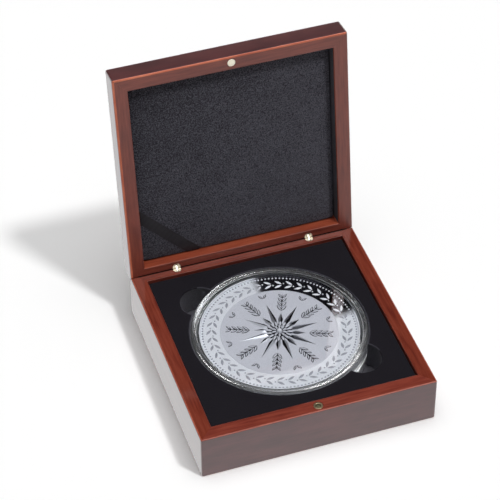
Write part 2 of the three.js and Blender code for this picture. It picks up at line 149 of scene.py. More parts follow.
@dataclass(frozen=True)
class LacqueredMahogany(Finish):
    """Stained mahogany under a clear sprayed and rubbed lacquer.

    The stain gives a red-brown with darker fibres along the board, the open pores show as
    short dark dashes, and the lacquer above lies smooth, so it takes grey sheen at a slant.
    A streak's three numbers are its length and width and how many finer layers it has.
    """

    dark: str = "#6a2a20"
    middle: str = "#7f372a"
    light: str = "#8b4031"
    along: int = 0
    turn: float = 0.0
    under_gloss: float = 0.15
    coat: float = 1.0
    coat_blur: float = 0.09
    cloud: float = 0.35
    fibre: tuple[float, float, float] = (20.0, 1.3, 4.0)
    # Real pores are 0.1 to 0.2 mm wide; they are drawn at 0.4 mm so that they can show.
    pore: tuple[float, float, float] = (3.5, 0.4, 1.0)
    figure: tuple[float, float, float] = (36.0, 12.0, 2.0)
    pore_depth: float = 0.05
    # The noise at which a pore starts and at which it is full, and how dark it is then.
    pore_share: tuple[float, float, float] = (0.60, 0.72, 0.35)
    # The noise at which the stain is dark, middle and light.
    tones: tuple[float, float, float] = (0.36, 0.49, 0.62)
    gloss: tuple[float, float] = (0.30, 0.40)

    def shader(self, tree: Tree) -> Socket:
        """Fibres, pores and lacquer; see Finish.shader."""
        node = partial(add_node, tree)
        turn = (math.radians(self.turn), 0.0, 0.0)
        place = node("Mapping", {"Vector": node("TexCoord", out="Object"), "Rotation": turn})
        fibres, pores, figure = (
            self.streaks(tree, place, *size) for size in (self.fibre, self.pore, self.figure)
        )
        tone = node("Mix", {0: self.cloud, 2: fibres, 3: figure}, data_type="FLOAT")
        low, middle, high = self.tones
        stops = ((low, linear(self.dark)), (high, linear(self.light)), (middle, linear(self.middle)))
        stain = node("ValToRGB", {0: tone}, stops=stops)
        start, full, share = self.pore_share
        dash = node("MapRange", {0: pores, 1: start, 2: full, 3: 0.0, 4: share})
        colour = node("Mix", {0: dash, 6: stain, 7: linear(self.dark)}, out=2, data_type="RGBA")
        bump = node("Bump", {"Strength": 0.08, "Distance": self.pore_depth * MM, "Height": pores})
        gloss = node("MapRange", {0: fibres, 3: self.gloss[0], 4: self.gloss[1]})
        return node(
            "BsdfPrincipled",
            {
                "Base Color": colour,
                "Roughness": gloss,
                "Specular IOR Level": self.under_gloss,
                "Normal": bump,
                "Coat Weight": self.coat,
                "Coat Roughness": self.coat_blur,
            },
        )

    def streaks(self, tree: Tree, place: Socket, length: float, width: float, detail: float) -> Socket:
        """Noise drawn out along the fibres.

        Args:
            tree: The material's node tree.
            place: The socket that gives the place on the board.
            length: How long a streak is, in millimetres.
            width: How wide it is, in millimetres.
            detail: How many finer layers it has.

        Returns:
            The socket that gives the noise.
        """
        scale = [1 / (width * MM)] * 3
        scale[self.along] = 1 / (length * MM)
        drawn = add_node(tree, "Mapping", {"Vector": place, "Scale": scale})
        inputs = {"Vector": drawn, "Scale": 1.0, "Detail": detail, "Roughness": 0.6}
        return add_node(tree, "TexNoise", inputs)


@dataclass(frozen=True)
class PileVelour(Finish):
    """Short dense pile of dyed nylon, flocked on a backing.

    The pile swallows light head on, shows a faint grey bloom where it is seen at a slant,
    and has a fine grain of lighter fibre ends. A painted gradient of light can make it lighter
    towards one way.
    """

    ground: str = "#17151a"
    tips: str = "#201e23"
    # Real fibre ends are less than 0.1 mm apart; they are drawn at 0.6 mm so that they can show.
    grain: float = 0.6
    patch: float = 18.0
    patchiness: float = 0.05
    spread: tuple[float, float] = (0.42, 0.62)
    bloom: float = 0.25
    relief: float = 0.08
    painted_light_slope: tuple[float, float, float] = (0.0, 0.0, 0.0)

    def shader(self, tree: Tree) -> Socket:
        """Fibre ends and bloom; see Finish.shader."""
        node = partial(add_node, tree)
        place = node("TexCoord", out="Object")
        grain = 1 / (self.grain * MM)
        ends = node("TexNoise", {"Vector": place, "Scale": grain, "Detail": 2.0, "Roughness": 0.7})
        nap = node("TexNoise", {"Vector": place, "Scale": 1 / (self.patch * MM), "Detail": 2.0})
        shade = node("MapRange", {0: nap, 3: -self.patchiness, 4: self.patchiness})
        tone = node("Math", {0: ends, 1: shade}, operation="ADD")
        # Painted light: a gradient by place along the object's axes.
        painted_gradient = node("VectorMath", {0: place, 1: self.painted_light_slope}, out="Value", operation="DOT_PRODUCT")
        tone = node("Math", {0: tone, 1: painted_gradient}, operation="ADD")
        low, high = self.spread
        stops = ((low, linear(self.ground)), (high, linear(self.tips)))
        return node(
            "BsdfPrincipled",
            {
                "Base Color": node("ValToRGB", {0: tone}, stops=stops),
                "Roughness": 0.95,
                "Specular IOR Level": 0.08,
                "Sheen Weight": self.bloom,
                "Sheen Roughness": 0.45,
                "Sheen Tint": linear("#8a8890"),
                "Normal": node("Bump", {"Strength": 0.6, "Distance": self.relief * MM, "Height": ends}),
            },
        )


@dataclass(frozen=True)
class WovenRibbon(Finish):
    """Woven rayon ribbon: ribs across the band give it a dull, directional sheen."""

    ground: str = "#131015"
    thread: str = "#19161b"
    # Real ribs are 0.2 mm apart; they are drawn 3.1 mm apart so that they can show.
    rib_spacing: float = 3.1416
    rib_depth: float = 0.05

    def shader(self, tree: Tree) -> Socket:
        """Ribs across the band; see Finish.shader."""
        node = partial(add_node, tree)
        # The wave texture turns 20 radians over each unit.
        scale = 2 * math.pi / 20 / (self.rib_spacing * MM)
        place = node("UVMap", uv_map="cloth")
        ribs = node("TexWave", {"Vector": place, "Scale": scale}, out=1, bands_direction="X")
        colour = node(
            "Mix", {0: ribs, 6: linear(self.ground), 7: linear(self.thread)}, out=2, data_type="RGBA"
        )
        bump = node("Bump", {"Strength": 0.5, "Distance": self.rib_depth * MM, "Height": ribs})
        return node(
            "BsdfPrincipled",
            {"Base Color": colour, "Roughness": 0.55, "Specular IOR Level": 0.3, "Normal": bump},
        )


@dataclass(frozen=True)
class PolishedMetal(Finish):
    """Solid metal, turned or struck and then polished, brushed or frosted by its roughness.

    A finer or coarser grain keeps a wide piece from looking like one even tone. Real grain is
    much finer than a tenth of a millimetre; it is drawn coarser so that it can show.
    """

    colour: str = "#e3c077"
    shade: str = "#c9a45c"
    roughness: float = 0.2
    grain: float = 0.8
    metallic: float = 1.0
    relief: float = 0.0

    def shader(self, tree: Tree) -> Socket:
        """Grain and gloss; see Finish.shader."""
        node = partial(add_node, tree)
        place = node("TexCoord", out="Object")
        grain = 1 / (self.grain * MM)
        noise = node("TexNoise", {"Vector": place, "Scale": grain, "Detail": 3.0, "Roughness": 0.6})
        stops = ((0.35, linear(self.shade)), (0.65, linear(self.colour)))
        inputs = {
            "Base Color": node("ValToRGB", {0: noise}, stops=stops),
            "Roughness": node("MapRange", {0: noise, 3: self.roughness * 0.8, 4: self.roughness * 1.2}),
            "Metallic": self.metallic,
        }
        if self.relief:
            inputs["Normal"] = node(
                "Bump", {"Strength": 0.5, "Distance": self.relief * MM, "Height": noise}
            )
        return node("BsdfPrincipled", inputs)


@dataclass(frozen=True)
class BandSilver(Finish):
    """Struck silver that is satin all round, with a polished sector towards the rear right.

    The sector's colour is painted: on the band a painted dark reflection of what lies above the
    lid, beside the bright satin, and on the ornament a lighter tone. Roughness and metallic are given
    for the satin and for the polish.
    """

    bright: str = "#e6e8ee"
    painted_sector: str = "#5e5e64"
    middle: float = 46.5
    half: float = 43.5
    fade: float = 6.0
    roughness: tuple[float, float] = (0.6, 0.04)
    metallic: tuple[float, float] = (0.2, 1.0)

    def shader(self, tree: Tree) -> Socket:
        """Satin and polish with its painted colour, told apart by the direction from the coin's middle; see
        Finish.shader.
        """
        node = partial(add_node, tree)
        place = node("TexCoord", out="Object")
        turn = math.radians(self.middle)
        along, across = (
            node("VectorMath", {0: place, 1: axis}, out="Value", operation="DOT_PRODUCT")
            for axis in (
                (math.cos(turn), math.sin(turn), 0.0),
                (-math.sin(turn), math.cos(turn), 0.0),
            )
        )
        angle = node("Math", {0: across, 1: along}, operation="ARCTAN2")
        away = node("Math", {0: angle}, operation="ABSOLUTE")
        edge, soft = math.radians(self.half), math.radians(self.fade)
        share = node(
            "MapRange",
            {0: away, 1: edge - soft, 2: edge + soft, 3: 1.0, 4: 0.0},
            interpolation_type="SMOOTHSTEP",
        )
        # The sector's colour is painted: a dark reflection on the band, a lighter tone on the ornament.
        tones = {0: share, 6: linear(self.bright), 7: linear(self.painted_sector)}
        rough, metal = (
            node("MapRange", {0: share, 3: satin, 4: polished})
            for satin, polished in (self.roughness, self.metallic)
        )
        colour = node("Mix", tones, out=2, data_type="RGBA")
        return node("BsdfPrincipled", {"Base Color": colour, "Roughness": rough, "Metallic": metal})


@dataclass(frozen=True)
class ClearAcrylic(Finish):
    """Injection-moulded clear acrylic with a polished skin.

    It bends what is behind its thick rim, takes sharp lights on its rounded edge, and lets
    the lamps through to the coin. A little haze stands for a satin mould.
    """

    tint: str = "#fbfcfd"
    roughness: float = 0.0
    haze: float = 0.0
    # A ray that only turned back inside the plate has bounced twice; one from the coin, three times.
    coin_depth: float = 2.5

    def shader(self, tree: Tree) -> Socket:
        """Glass to the eye, clear to the lamps and to what the coin mirrors; see Finish.shader."""
        node = partial(add_node, tree)
        tint = linear(self.tint)
        body = node(
            "BsdfPrincipled",
            {"Base Color": tint, "Roughness": self.roughness, "IOR": 1.49, "Transmission Weight": 1.0},
        )
        if self.haze:
            milky = node("BsdfDiffuse", {"Color": tint})
            body = node("MixShader", {0: self.haze, 1: body, 2: milky})
        open_air = node("BsdfTransparent", {0: tint})
        shadow, diffuse, glossy, through = (
            node("LightPath", out=f"Is {kind} Ray")
            for kind in ("Shadow", "Diffuse", "Glossy", "Transmission")
        )
        lamps = node("Math", {0: shadow, 1: diffuse}, operation="MAXIMUM")
        mirrored = node("Math", {0: glossy, 1: through}, operation="SUBTRACT", use_clamp=True)
        depth = node("LightPath", out="Ray Depth")
        deep = node("Math", {0: depth, 1: self.coin_depth}, operation="GREATER_THAN")
        mirrored = node("Math", {0: mirrored, 1: deep}, operation="MULTIPLY")
        clear = node("Math", {0: lamps, 1: mirrored}, operation="MAXIMUM")
        return node("MixShader", {0: clear, 1: body, 2: open_air})


@dataclass(frozen=True)
class GreyBoard(Finish):
    """Grey card cut to size: fine flecks of paper fibre on a matt face."""

    dark: str = "#453b34"
    light: str = "#54493f"
    fleck: float = 0.7

    def shader(self, tree: Tree) -> Socket:
        """Flecks; see Finish.shader."""
        node = partial(add_node, tree)
        place = node("TexCoord", out="Object")
        flecks = node("TexNoise", {"Vector": place, "Scale": 1 / (self.fleck * MM), "Detail": 4.0})
        stops = ((0.35, linear(self.dark)), (0.65, linear(self.light)))
        colour = node("ValToRGB", {0: flecks}, stops=stops)
        return node("BsdfPrincipled", {"Base Color": colour, "Roughness": 0.9})


class Fibres(Enum):
    """Which axis a board's fibres run along, and the lid's turn that the pattern undoes."""

    ACROSS = (0, 0.0)
    DEEP = (1, 0.0)
    LID_ACROSS = (0, LID_TURN)
    LID_DEEP = (1, LID_TURN)


class Face(IntEnum):
    """The kinds of face on a board, by the number of their finish."""

    RIM = 0
    OUTER = 1
    # Eased edges, painted lighter as a painted highlight.
    EDGE = 2
    # Bevels along the hinges, painted dark as painted shade in the crease.
    GROOVE = 3
    INNER = 4
    # Velour on the lid's side walls, put there as painted shade.
    PAINTED_SHADE_LINING = 5


VENEER = ("#482225", "#53292b", "#5e3031")
# Painted shade: the hinge bevels are painted dark where shade falls in the crease.
PAINTED_CREASE_SHADE = ("#241010", "#2e1614", "#381c18")
# Each kind of face's name, its dark, middle and light stain in the base and in the lid, and its
# lacquer. The outer faces are a browner, glossier veneer. The eased edges are painted lighter, a
# painted highlight line where the light catches the rounding. The bevels along the hinges are
# painted dark, painted shade in the crease between lid and base, and no polish reaches them.
# The inner faces were sprayed thinly and left unrubbed, so they are duller and, in the lid, more orange.
STAINS = {
    Face.OUTER: ("veneer", VENEER, VENEER, {"under_gloss": 0.5, "cloud": 0.75}),
    Face.EDGE: (
        "edge",
        ("#8a3d2e", "#a04c38", "#b05a42"),
        ("#a84e38", "#c26446", "#d67a5a"),
        {"coat": 0.5, "coat_blur": 0.35},
    ),
    Face.GROOVE: ("groove", PAINTED_CREASE_SHADE, PAINTED_CREASE_SHADE, {"coat": 0.3, "coat_blur": 0.4}),
    Face.INNER: (
        "inside",
        ("#5e261d", "#6e3025", "#79382b"),
        ("#7c3526", "#92442e", "#a05037"),
        {"coat": 0.3, "coat_blur": 0.35},
    ),
}
DEEP_RIM = ("#62271e", "#743325", "#803b2c")
BASE_RIM_LACQUER = {"under_gloss": 0.0, "coat": 0.8, "coat_blur": 0.09}
LID_RIM_LACQUER = {"under_gloss": 0.15, "coat": 1.0, "coat_blur": 0.35}


def rim_wood(fibres: Fibres, deeper: bool) -> LacqueredMahogany:
    """The redder wood of the rims, of which some boards took the stain a shade deeper.

    Args:
        fibres: Which way the board's fibres run.
        deeper: Whether the board is one of the deeper ones.

    Returns:
        The finish.
    """
    along, turn = fibres.value
    name = f"lacquered_mahogany_rim_{fibres.name.lower()}"
    if not deeper:
        return LacqueredMahogany(name, along=along, turn=turn)
    lacquer = LID_RIM_LACQUER if turn else BASE_RIM_LACQUER
    return LacqueredMahogany(name + "_deep", *DEEP_RIM, along=along, turn=turn, **lacquer)


def face_wood(kind: Face, fibres: Fibres) -> LacqueredMahogany:
    """The wood of one kind of face that isn't the rim.

    Args:
        kind: Which kind of face it is.
        fibres: Which way the board's fibres run.

    Returns:
        The finish.
    """
    along, turn = fibres.value
    name, base, lid, lacquer = STAINS[kind]
    name = f"lacquered_mahogany_{name}_{fibres.name.lower()}"
    return LacqueredMahogany(name, *(lid if turn else base), along=along, turn=turn, **lacquer)


INSERT_VELOUR = PileVelour("flocked_velour_black")
# Painted light and shade: this grey velour is painted lighter than the black against the shade on the
# insert's cut walls and bed, and on the lid's side walls it is painted shade over the wood.
GREY_VELOUR_PAINTED_FILL_AND_SHADE = PileVelour("flocked_velour_grey", ground="#444348", tips="#515055")
# Painted highlight: the velour on the eased edges is painted lighter where the light catches them.
VELOUR_PAINTED_EDGE_HIGHLIGHT = PileVelour("flocked_velour_turned_edge", ground="#35343a", tips="#424148", bloom=0.4)
# The liner's slope is painted light: it is painted lighter to the right and lower down, and its spread is
# shifted to carry the gradient's offset.
LINER_VELOUR = PileVelour(
    "flocked_velour_speckled",
    ground="#26252a",
    tips="#5c5b63",
    grain=0.75,
    spread=(0.335, 0.635),
    bloom=0.3,
    painted_light_slope=(0.65, 0.0, -0.35),
)
RIBBON = WovenRibbon("woven_ribbon_black")
BRASS = PolishedMetal("turned_brass", "#d8c6a2", "#c5b18c", roughness=0.35)
# Painted highlight: this near-white, half-metallic brass stands in for the bright reflections on the hinges
# and the strike disc.
BRASS_PAINTED_HIGHLIGHT = PolishedMetal("polished_brass_pale", "#fffaea", "#f8eed6", roughness=0.45, metallic=0.6)
STEEL = PolishedMetal("drawn_steel_wire", "#9a9a98", "#83827f", roughness=0.3)
MAGNET = PolishedMetal("nickel_plated_magnet", "#8a8668", "#716d52", roughness=0.45)
# Painted dark reflection: this dark silver stands in for polished relief mirroring the dark above the lid.
# It outlines the leaves and petals and darkens one flank of each ray.
SILVER_PAINTED_DARK_REFLECTION = PolishedMetal("blackened_silver", "#4b4c52", "#3a3b40", grain=0.6)
FROSTED_SILVER = PolishedMetal(
    "frosted_silver", "#d5d6de", "#c4c5ce", roughness=0.6, grain=0.5, metallic=0.15, relief=0.05
)
EDGE_SILVER = PolishedMetal("milled_silver_edge", "#f4f4f8", "#e6e7ec", roughness=0.4, metallic=0.3)
RELIEF_SILVER = PolishedMetal("struck_silver_relief", "#dcdee5", "#c6c8d0", roughness=0.45, grain=0.6)
BAND_SILVER = BandSilver("polished_silver_band")
# In the sector the ornament is painted lighter, against the band's painted dark reflection.
ORNAMENT_SILVER = BandSilver(
    "frosted_silver_ornament", "#a6a8b1", "#f4f4fa", roughness=(0.55, 0.5), metallic=(0.3, 0.15)
)
ACRYLIC = ClearAcrylic("moulded_clear_acrylic")
RIM_ACRYLIC = ClearAcrylic("moulded_acrylic_rim", roughness=0.2)
SATIN_ACRYLIC = ClearAcrylic("moulded_satin_acrylic", roughness=0.3, haze=0.03)
BOARD = GreyBoard("grey_board")


# Mesh helpers


def node_copy(node: str) -> Shape:
    """Copies a CAD node's mesh, with its loose triangles merged into whole faces.

    Args:
        node: The node's name.

    Returns:
        The copy.
    """
    shape = bmesh.new()
    shape.from_mesh(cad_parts[node].data)
    bmesh.ops.remove_doubles(shape, verts=shape.verts, dist=0.01 * MM)
    bmesh.ops.dissolve_limit(
        shape,
        angle_limit=math.radians(0.4),
        use_dissolve_boundaries=False,
        verts=shape.verts,
        edges=shape.edges,
    )
    return shape


def turned(profile: Profile, steps: int) -> Shape:
    """Spins a half profile about Z.

    Args:
        profile: (radius, height) points in millimetres, from axis to axis or closed on itself.
        steps: How many sectors a full turn has.

    Returns:
        The closed body, with its faces outwards.
    """
    shape = bmesh.new()
    points = [shape.verts.new((radius * MM, 0.0, height * MM)) for radius, height in profile]
    runs = [shape.edges.new(pair) for pair in zip(points, points[1:])]
    bmesh.ops.spin(
        shape,
        geom=[*points, *runs],
        cent=(0, 0, 0),
        axis=(0, 0, 1),
        angle=2 * math.pi,
        steps=steps,
        use_merge=True,
    )
    bmesh.ops.remove_doubles(shape, verts=shape.verts, dist=0.0005 * MM)
    bmesh.ops.recalc_face_normals(shape, faces=shape.faces)
    return shape


def arc(radius: float, height: float, size: float, start: float, end: float, steps: int = 5) -> list:
    """Points of a rounded corner in a profile.

    Args:
        radius: Its centre's distance from the axis.
        height: Its centre's height.
        size: Its own radius.
        start: Where it starts, in degrees from outwards, turning up.
        end: Where it ends.
        steps: How many straight runs stand for it.

    Returns:
        The (radius, height) points.
    """
    turns = (math.radians(start + (end - start) * i / steps) for i in range(steps + 1))
    return [(radius + size * math.cos(t), height + size * math.sin(t)) for t in turns]


def ease_edges(shape: Shape, size: float, steeper: float = 25.0) -> None:
    """Rounds a shape's sharp edges.

    Args:
        shape: The shape, which is changed.
        size: How far the rounding reaches from an edge, in millimetres.
        steeper: The least angle between two faces, in degrees, at which their edge is sharp.
    """
    least = math.radians(steeper)
    bmesh.ops.bevel(
        shape,
        geom=[e for e in shape.edges if len(e.link_faces) == 2 and e.calc_face_angle() > least],
        offset=size * MM,
        offset_type="OFFSET",
        segments=2,
        profile=0.5,
        affect="EDGES",
        material=-1,
        clamp_overlap=True,
    )


def cut_along(shape: Shape, point: Vector, normal: Vector) -> None:
    """Cuts a line into every face that a plane meets.

    Args:
        shape: The shape, which is changed.
        point: A point of the plane, in millimetres.
        normal: The plane's normal.
    """
    everything = [*shape.verts, *shape.edges, *shape.faces]
    bmesh.ops.bisect_plane(shape, geom=everything, plane_co=point * MM, plane_no=normal)


def repeat(whole: Shape, part: Shape, count: int, place: Callable[[int], Matrix]) -> None:
    """Adds placed copies of one shape to another.

    Args:
        whole: The shape that grows.
        part: The shape that is copied, and then freed.
        count: How many copies there are.
        place: Gives each copy's place.
    """
    for step in range(count):
        scratch = bpy.data.meshes.new("scratch")
        part.to_mesh(scratch)
        scratch.transform(place(step))
        whole.from_mesh(scratch)
        bpy.data.meshes.remove(scratch)
    part.free()


def add_object(name: str, data: bpy.types.ID) -> bpy.types.Object:
    """Puts a mesh, a lamp or a camera into the scene.

    Args:
        name: The object's name.
        data: What it holds.

    Returns:
        The new object.
    """
    thing = bpy.data.objects.new(name, data)
    bpy.context.scene.collection.objects.link(thing)
    return thing


def make_piece(
    shape: Shape,
    name: str,
    body: str,
    finishes: Sequence[Finish],
    stands_for: Iterable[str] = (),
    smooth: float = 35.0,
    flat_faces: bool = False,
) -> bpy.types.Object:
    """Turns a shape into a finished piece of the case.

    Args:
        shape: The shape, which is freed.
        name: The piece's name.
        body: The body that it rides on.
        finishes: Its finishes, in the order that its faces number them.
        stands_for: The CAD nodes that it replaces.
        smooth: The greatest angle, in degrees, over which its faces shade as one.
        flat_faces: Whether wide faces keep an even shade beside small rounded ones.

    Returns:
        The new object.
    """
    mesh = bpy.data.meshes.new(name)
    shape.to_mesh(mesh)
    shape.free()
    kept = mesh.attributes.get("custom_normal")
    if kept is not None:
        mesh.attributes.remove(kept)
    for finish in finishes:
        mesh.materials.append(finish.material())
    mesh.shade_smooth()
    mesh.set_sharp_from_angle(angle=math.radians(smooth))
    piece = add_object(name, mesh)
    if flat_faces:
        piece.modifiers.new("even faces", "WEIGHTED_NORMAL").keep_sharp = True
    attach(piece, body)
    if stands_for:
        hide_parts(*stands_for)
    LOG.info("%s: %d faces on %s", name, len(mesh.polygons), body)
    return piece


def dress_node(node: str, finish: Finish) -> None:
    """Gives a CAD node that stays in view its finish.

    Args:
        node: The node's name.
        finish: The finish.
    """
    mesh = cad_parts[node].data
    mesh.materials.clear()
    mesh.materials.append(finish.material())
    LOG.info("%s: CAD node in %s", node, finish.name)


# Sub-assemblies


@dataclass(frozen=True)
class Hinging:
    """Where the lid stands: turned back about its pivots, with its rim towards the front."""

    opening: float = LID_TURN
    pivot_y: float = 70.35
    pivot_depth: float = 1.4
    upper_y: float = 72.6843
    upper_z: float = 32.6399

    def lid_place(self) -> Matrix:
        """Places the lid.

        Returns:
            The matrix from the shut lid's own frame, with heights above the rim, to the open lid.
        """
        raised = Matrix.Translation((0, self.upper_y * MM, self.upper_z * MM))
        turn = Matrix.Rotation(-math.radians(self.opening), 4, "X")
        return raised @ turn @ Matrix.Translation((0, -self.pivot_y * MM, -self.pivot_depth * MM))


@dataclass
class WoodenBoards:
    """Mitred boards of one half of the case, in lacquered mahogany."""

    half: str = "base"
    case_half: float = 75.0
    opening_half: float = 65.7
    mitre_close: float = 0.205
    mitre_area: float = 20.0
    crease_close: float = 0.12
    crease_y: float = 70.4
    crease_area: float = 75.0
    outer_ease: float = 0.8
    panel_ease: float = 0.25
    painted_highlight_widening: float = 0.0
    edges_without_painted_highlight: tuple[str, ...] = ()
    painted_shade_sides: tuple[str, ...] = ()
    bare_strip: float = 1.2
    rises: int = 1
    deeper: tuple[str, ...] = ("left", "right", "rear")
    place: Matrix = field(default_factory=lambda: Matrix.Identity(4))
    across: Fibres = Fibres.ACROSS
    deep: Fibres = Fibres.DEEP

    def build(self) -> None:
        """Makes the four boards and the panel."""
        for side in ("front", "rear"):
            self.board(side, 0, self.across)
        for side in ("left", "right"):
            self.board(side, 1, self.deep)
        self.panel()

    def board(self, side: str, along: int, fibres: Fibres) -> None:
        """Makes one board, with its mitres drawn together to a hairline.

        Args:
            side: Which board it is.
            along: The axis that it runs along, in the shut frame.
            fibres: Which way its fibres run.
        """
        node = f"{self.half}_{side}_wall"
        shape = node_copy(node)
        shape.transform(self.place.inverted())
        shape.normal_update()
        for vert in {v for face in shape.faces if self.is_mitre(face) for v in face.verts}:
            vert.co[along] += math.copysign(self.mitre_close * MM, vert.co[along])
        self.close_crease(shape)
        self.mark_lines(shape, side, along)
        for face in shape.faces:
            face.material_index = self.kind(face, side, along)
        shape.transform(self.place)
        woods = [face_wood(kind, fibres) for kind in STAINS]
        # The last finish is velour on the lid's side walls, there as painted shade.
        finishes = (rim_wood(fibres, side in self.deeper), *woods, GREY_VELOUR_PAINTED_FILL_AND_SHADE)
        name = f"{self.half}_{side}_board"
        make_piece(shape, name, self.half, finishes, [node], flat_faces=True)

    def is_mitre(self, face: bmesh.types.BMFace) -> bool:
        """Tells whether a face is a mitred end of its board, which stands upright at 45 degrees.

        Args:
            face: A board's face, in the shut frame.

        Returns:
            True if it is.
        """
        x, y, z = (abs(part) for part in face.normal)
        return abs(x - y) < TRUE and z < TRUE and face.calc_area() > self.mitre_area * MM**2

    def close_crease(self, shape: Shape) -> None:
        """Draws the bevel along the hinges out to its neighbour's, so that no light shows between.

        Args:
            shape: A board in the shut frame.
        """
        for face in list(shape.faces):
            beyond = face.calc_center_median().y > self.crease_y * MM
            if beyond and SLANT < face.normal.z * self.rises < FLAT:
                if face.calc_area() > self.crease_area * MM**2:
                    out = face.normal * self.crease_close * MM
                    bmesh.ops.translate(shape, verts=face.verts, vec=out)

    def mark_lines(self, shape: Shape, side: str, along: int) -> None:
        """Cuts the lines where a board's finish changes.

        One runs beside the rim's outer eased edge, so that the painted highlight strip can be
        broader. The other is where the velour ends that covers a lid side wall as painted shade.

        Args:
            shape: A board in the shut frame.
            side: Which board it is.
            along: The axis that it runs along.
        """
        if self.painted_highlight_widening:
            for way in (1, -1):
                flat = Vector([0.0 if axis in (along, 2) else way for axis in range(3)])
                cut_along(shape, flat * self.painted_highlight_from(), flat)
        if side in self.painted_shade_sides:
            cut_along(shape, Vector((0, 0, self.bare_strip)), Vector((0, 0, 1)))

    def painted_highlight_from(self) -> float:
        """How far from the middle the strip of painted highlight on the rim starts."""
        return self.case_half - self.outer_ease - self.painted_highlight_widening

    def kind(self, face: bmesh.types.BMFace, side: str, along: int) -> Face:
        """Tells a face's kind by where it is and how it slopes.

        Args:
            face: A board's face, in the shut frame.
            side: Which board it is.
            along: The axis that it runs along.

        Returns:
            The kind.
        """
        middle = [part / MM for part in face.calc_center_median()]
        out_x, out_y = abs(middle[0]), abs(middle[1])
        reach, slope = max(out_x, out_y), face.normal.z * self.rises
        if middle[1] > self.crease_y and SLANT < slope < LEVEL and out_x < self.opening_half:
            return Face.GROOVE
        if reach < self.opening_half + WALL_SLACK and abs(slope) < FLAT:
            # Velour on a lid side wall is painted shade: it darkens a wall that lies in shade.
            shade_lined = side in self.painted_shade_sides and middle[2] > self.bare_strip
            return Face.PAINTED_SHADE_LINING if shade_lined else Face.INNER
        if reach > self.case_half - WALL_SLACK / 2 and abs(slope) < UPRIGHT:
            return Face.OUTER
        # Painted highlight: on the boards that have it, the eased edges and a strip of the rim beside them
        # are painted lighter where the light catches them.
        if side in self.edges_without_painted_highlight:
            return Face.RIM
        eased = reach > self.case_half - self.outer_ease - EASE_SLACK and SLANT < abs(slope) < FLAT
        painted_highlight_strip = (out_x if along else out_y) > self.painted_highlight_from() and slope > FLAT
        return Face.EDGE if eased or painted_highlight_strip else Face.RIM

    def panel(self) -> None:
        """Makes the flush panel, with its edges eased."""
        node = "base_bottom_panel" if self.half == "base" else "lid_top_panel"
        shape = node_copy(node)
        ease_edges(shape, self.panel_ease)
        name, finish = f"{self.half}_flush_panel", face_wood(Face.OUTER, self.across)
        make_piece(shape, name, self.half, (finish,), [node], flat_faces=True)


@dataclass
class VelourInsert:
    """Die-cut foam frame and bed board, covered in black flocked velour; the cut walls and the bed
    are painted a lighter grey as painted light against the shade in the notches, and the eased
    edges round the recess are painted lighter as painted highlight.
    """

    inner_reach: float = 64.4
    bed_ease: float = 0.5

    def build(self) -> None:
        """Makes the tray and the bed."""
        shape = node_copy("insert_tray")
        for face in shape.faces:
            inside = math.hypot(*face.calc_center_median().xy) < self.inner_reach * MM
            # The cut walls take the grey velour, painted lighter against their shade, and the eased edges
            # round the recess a painted highlight.
            if abs(face.normal.z) < SLANT:
                face.material_index = 1
            elif inside and SLANT < face.normal.z < FLAT:
                face.material_index = 2
        tray = make_piece(
            shape,
            "velour_tray",
            "base",
            (INSERT_VELOUR, GREY_VELOUR_PAINTED_FILL_AND_SHADE, VELOUR_PAINTED_EDGE_HIGHLIGHT),
            ["insert_tray"],
            smooth=50.0,
            flat_faces=True,
        )
        shape = node_copy("insert_bed")
        ease_edges(shape, self.bed_ease)
        bed = make_piece(
            shape, "velour_bed", "base", (GREY_VELOUR_PAINTED_FILL_AND_SHADE,), ["insert_bed"], flat_faces=True
        )


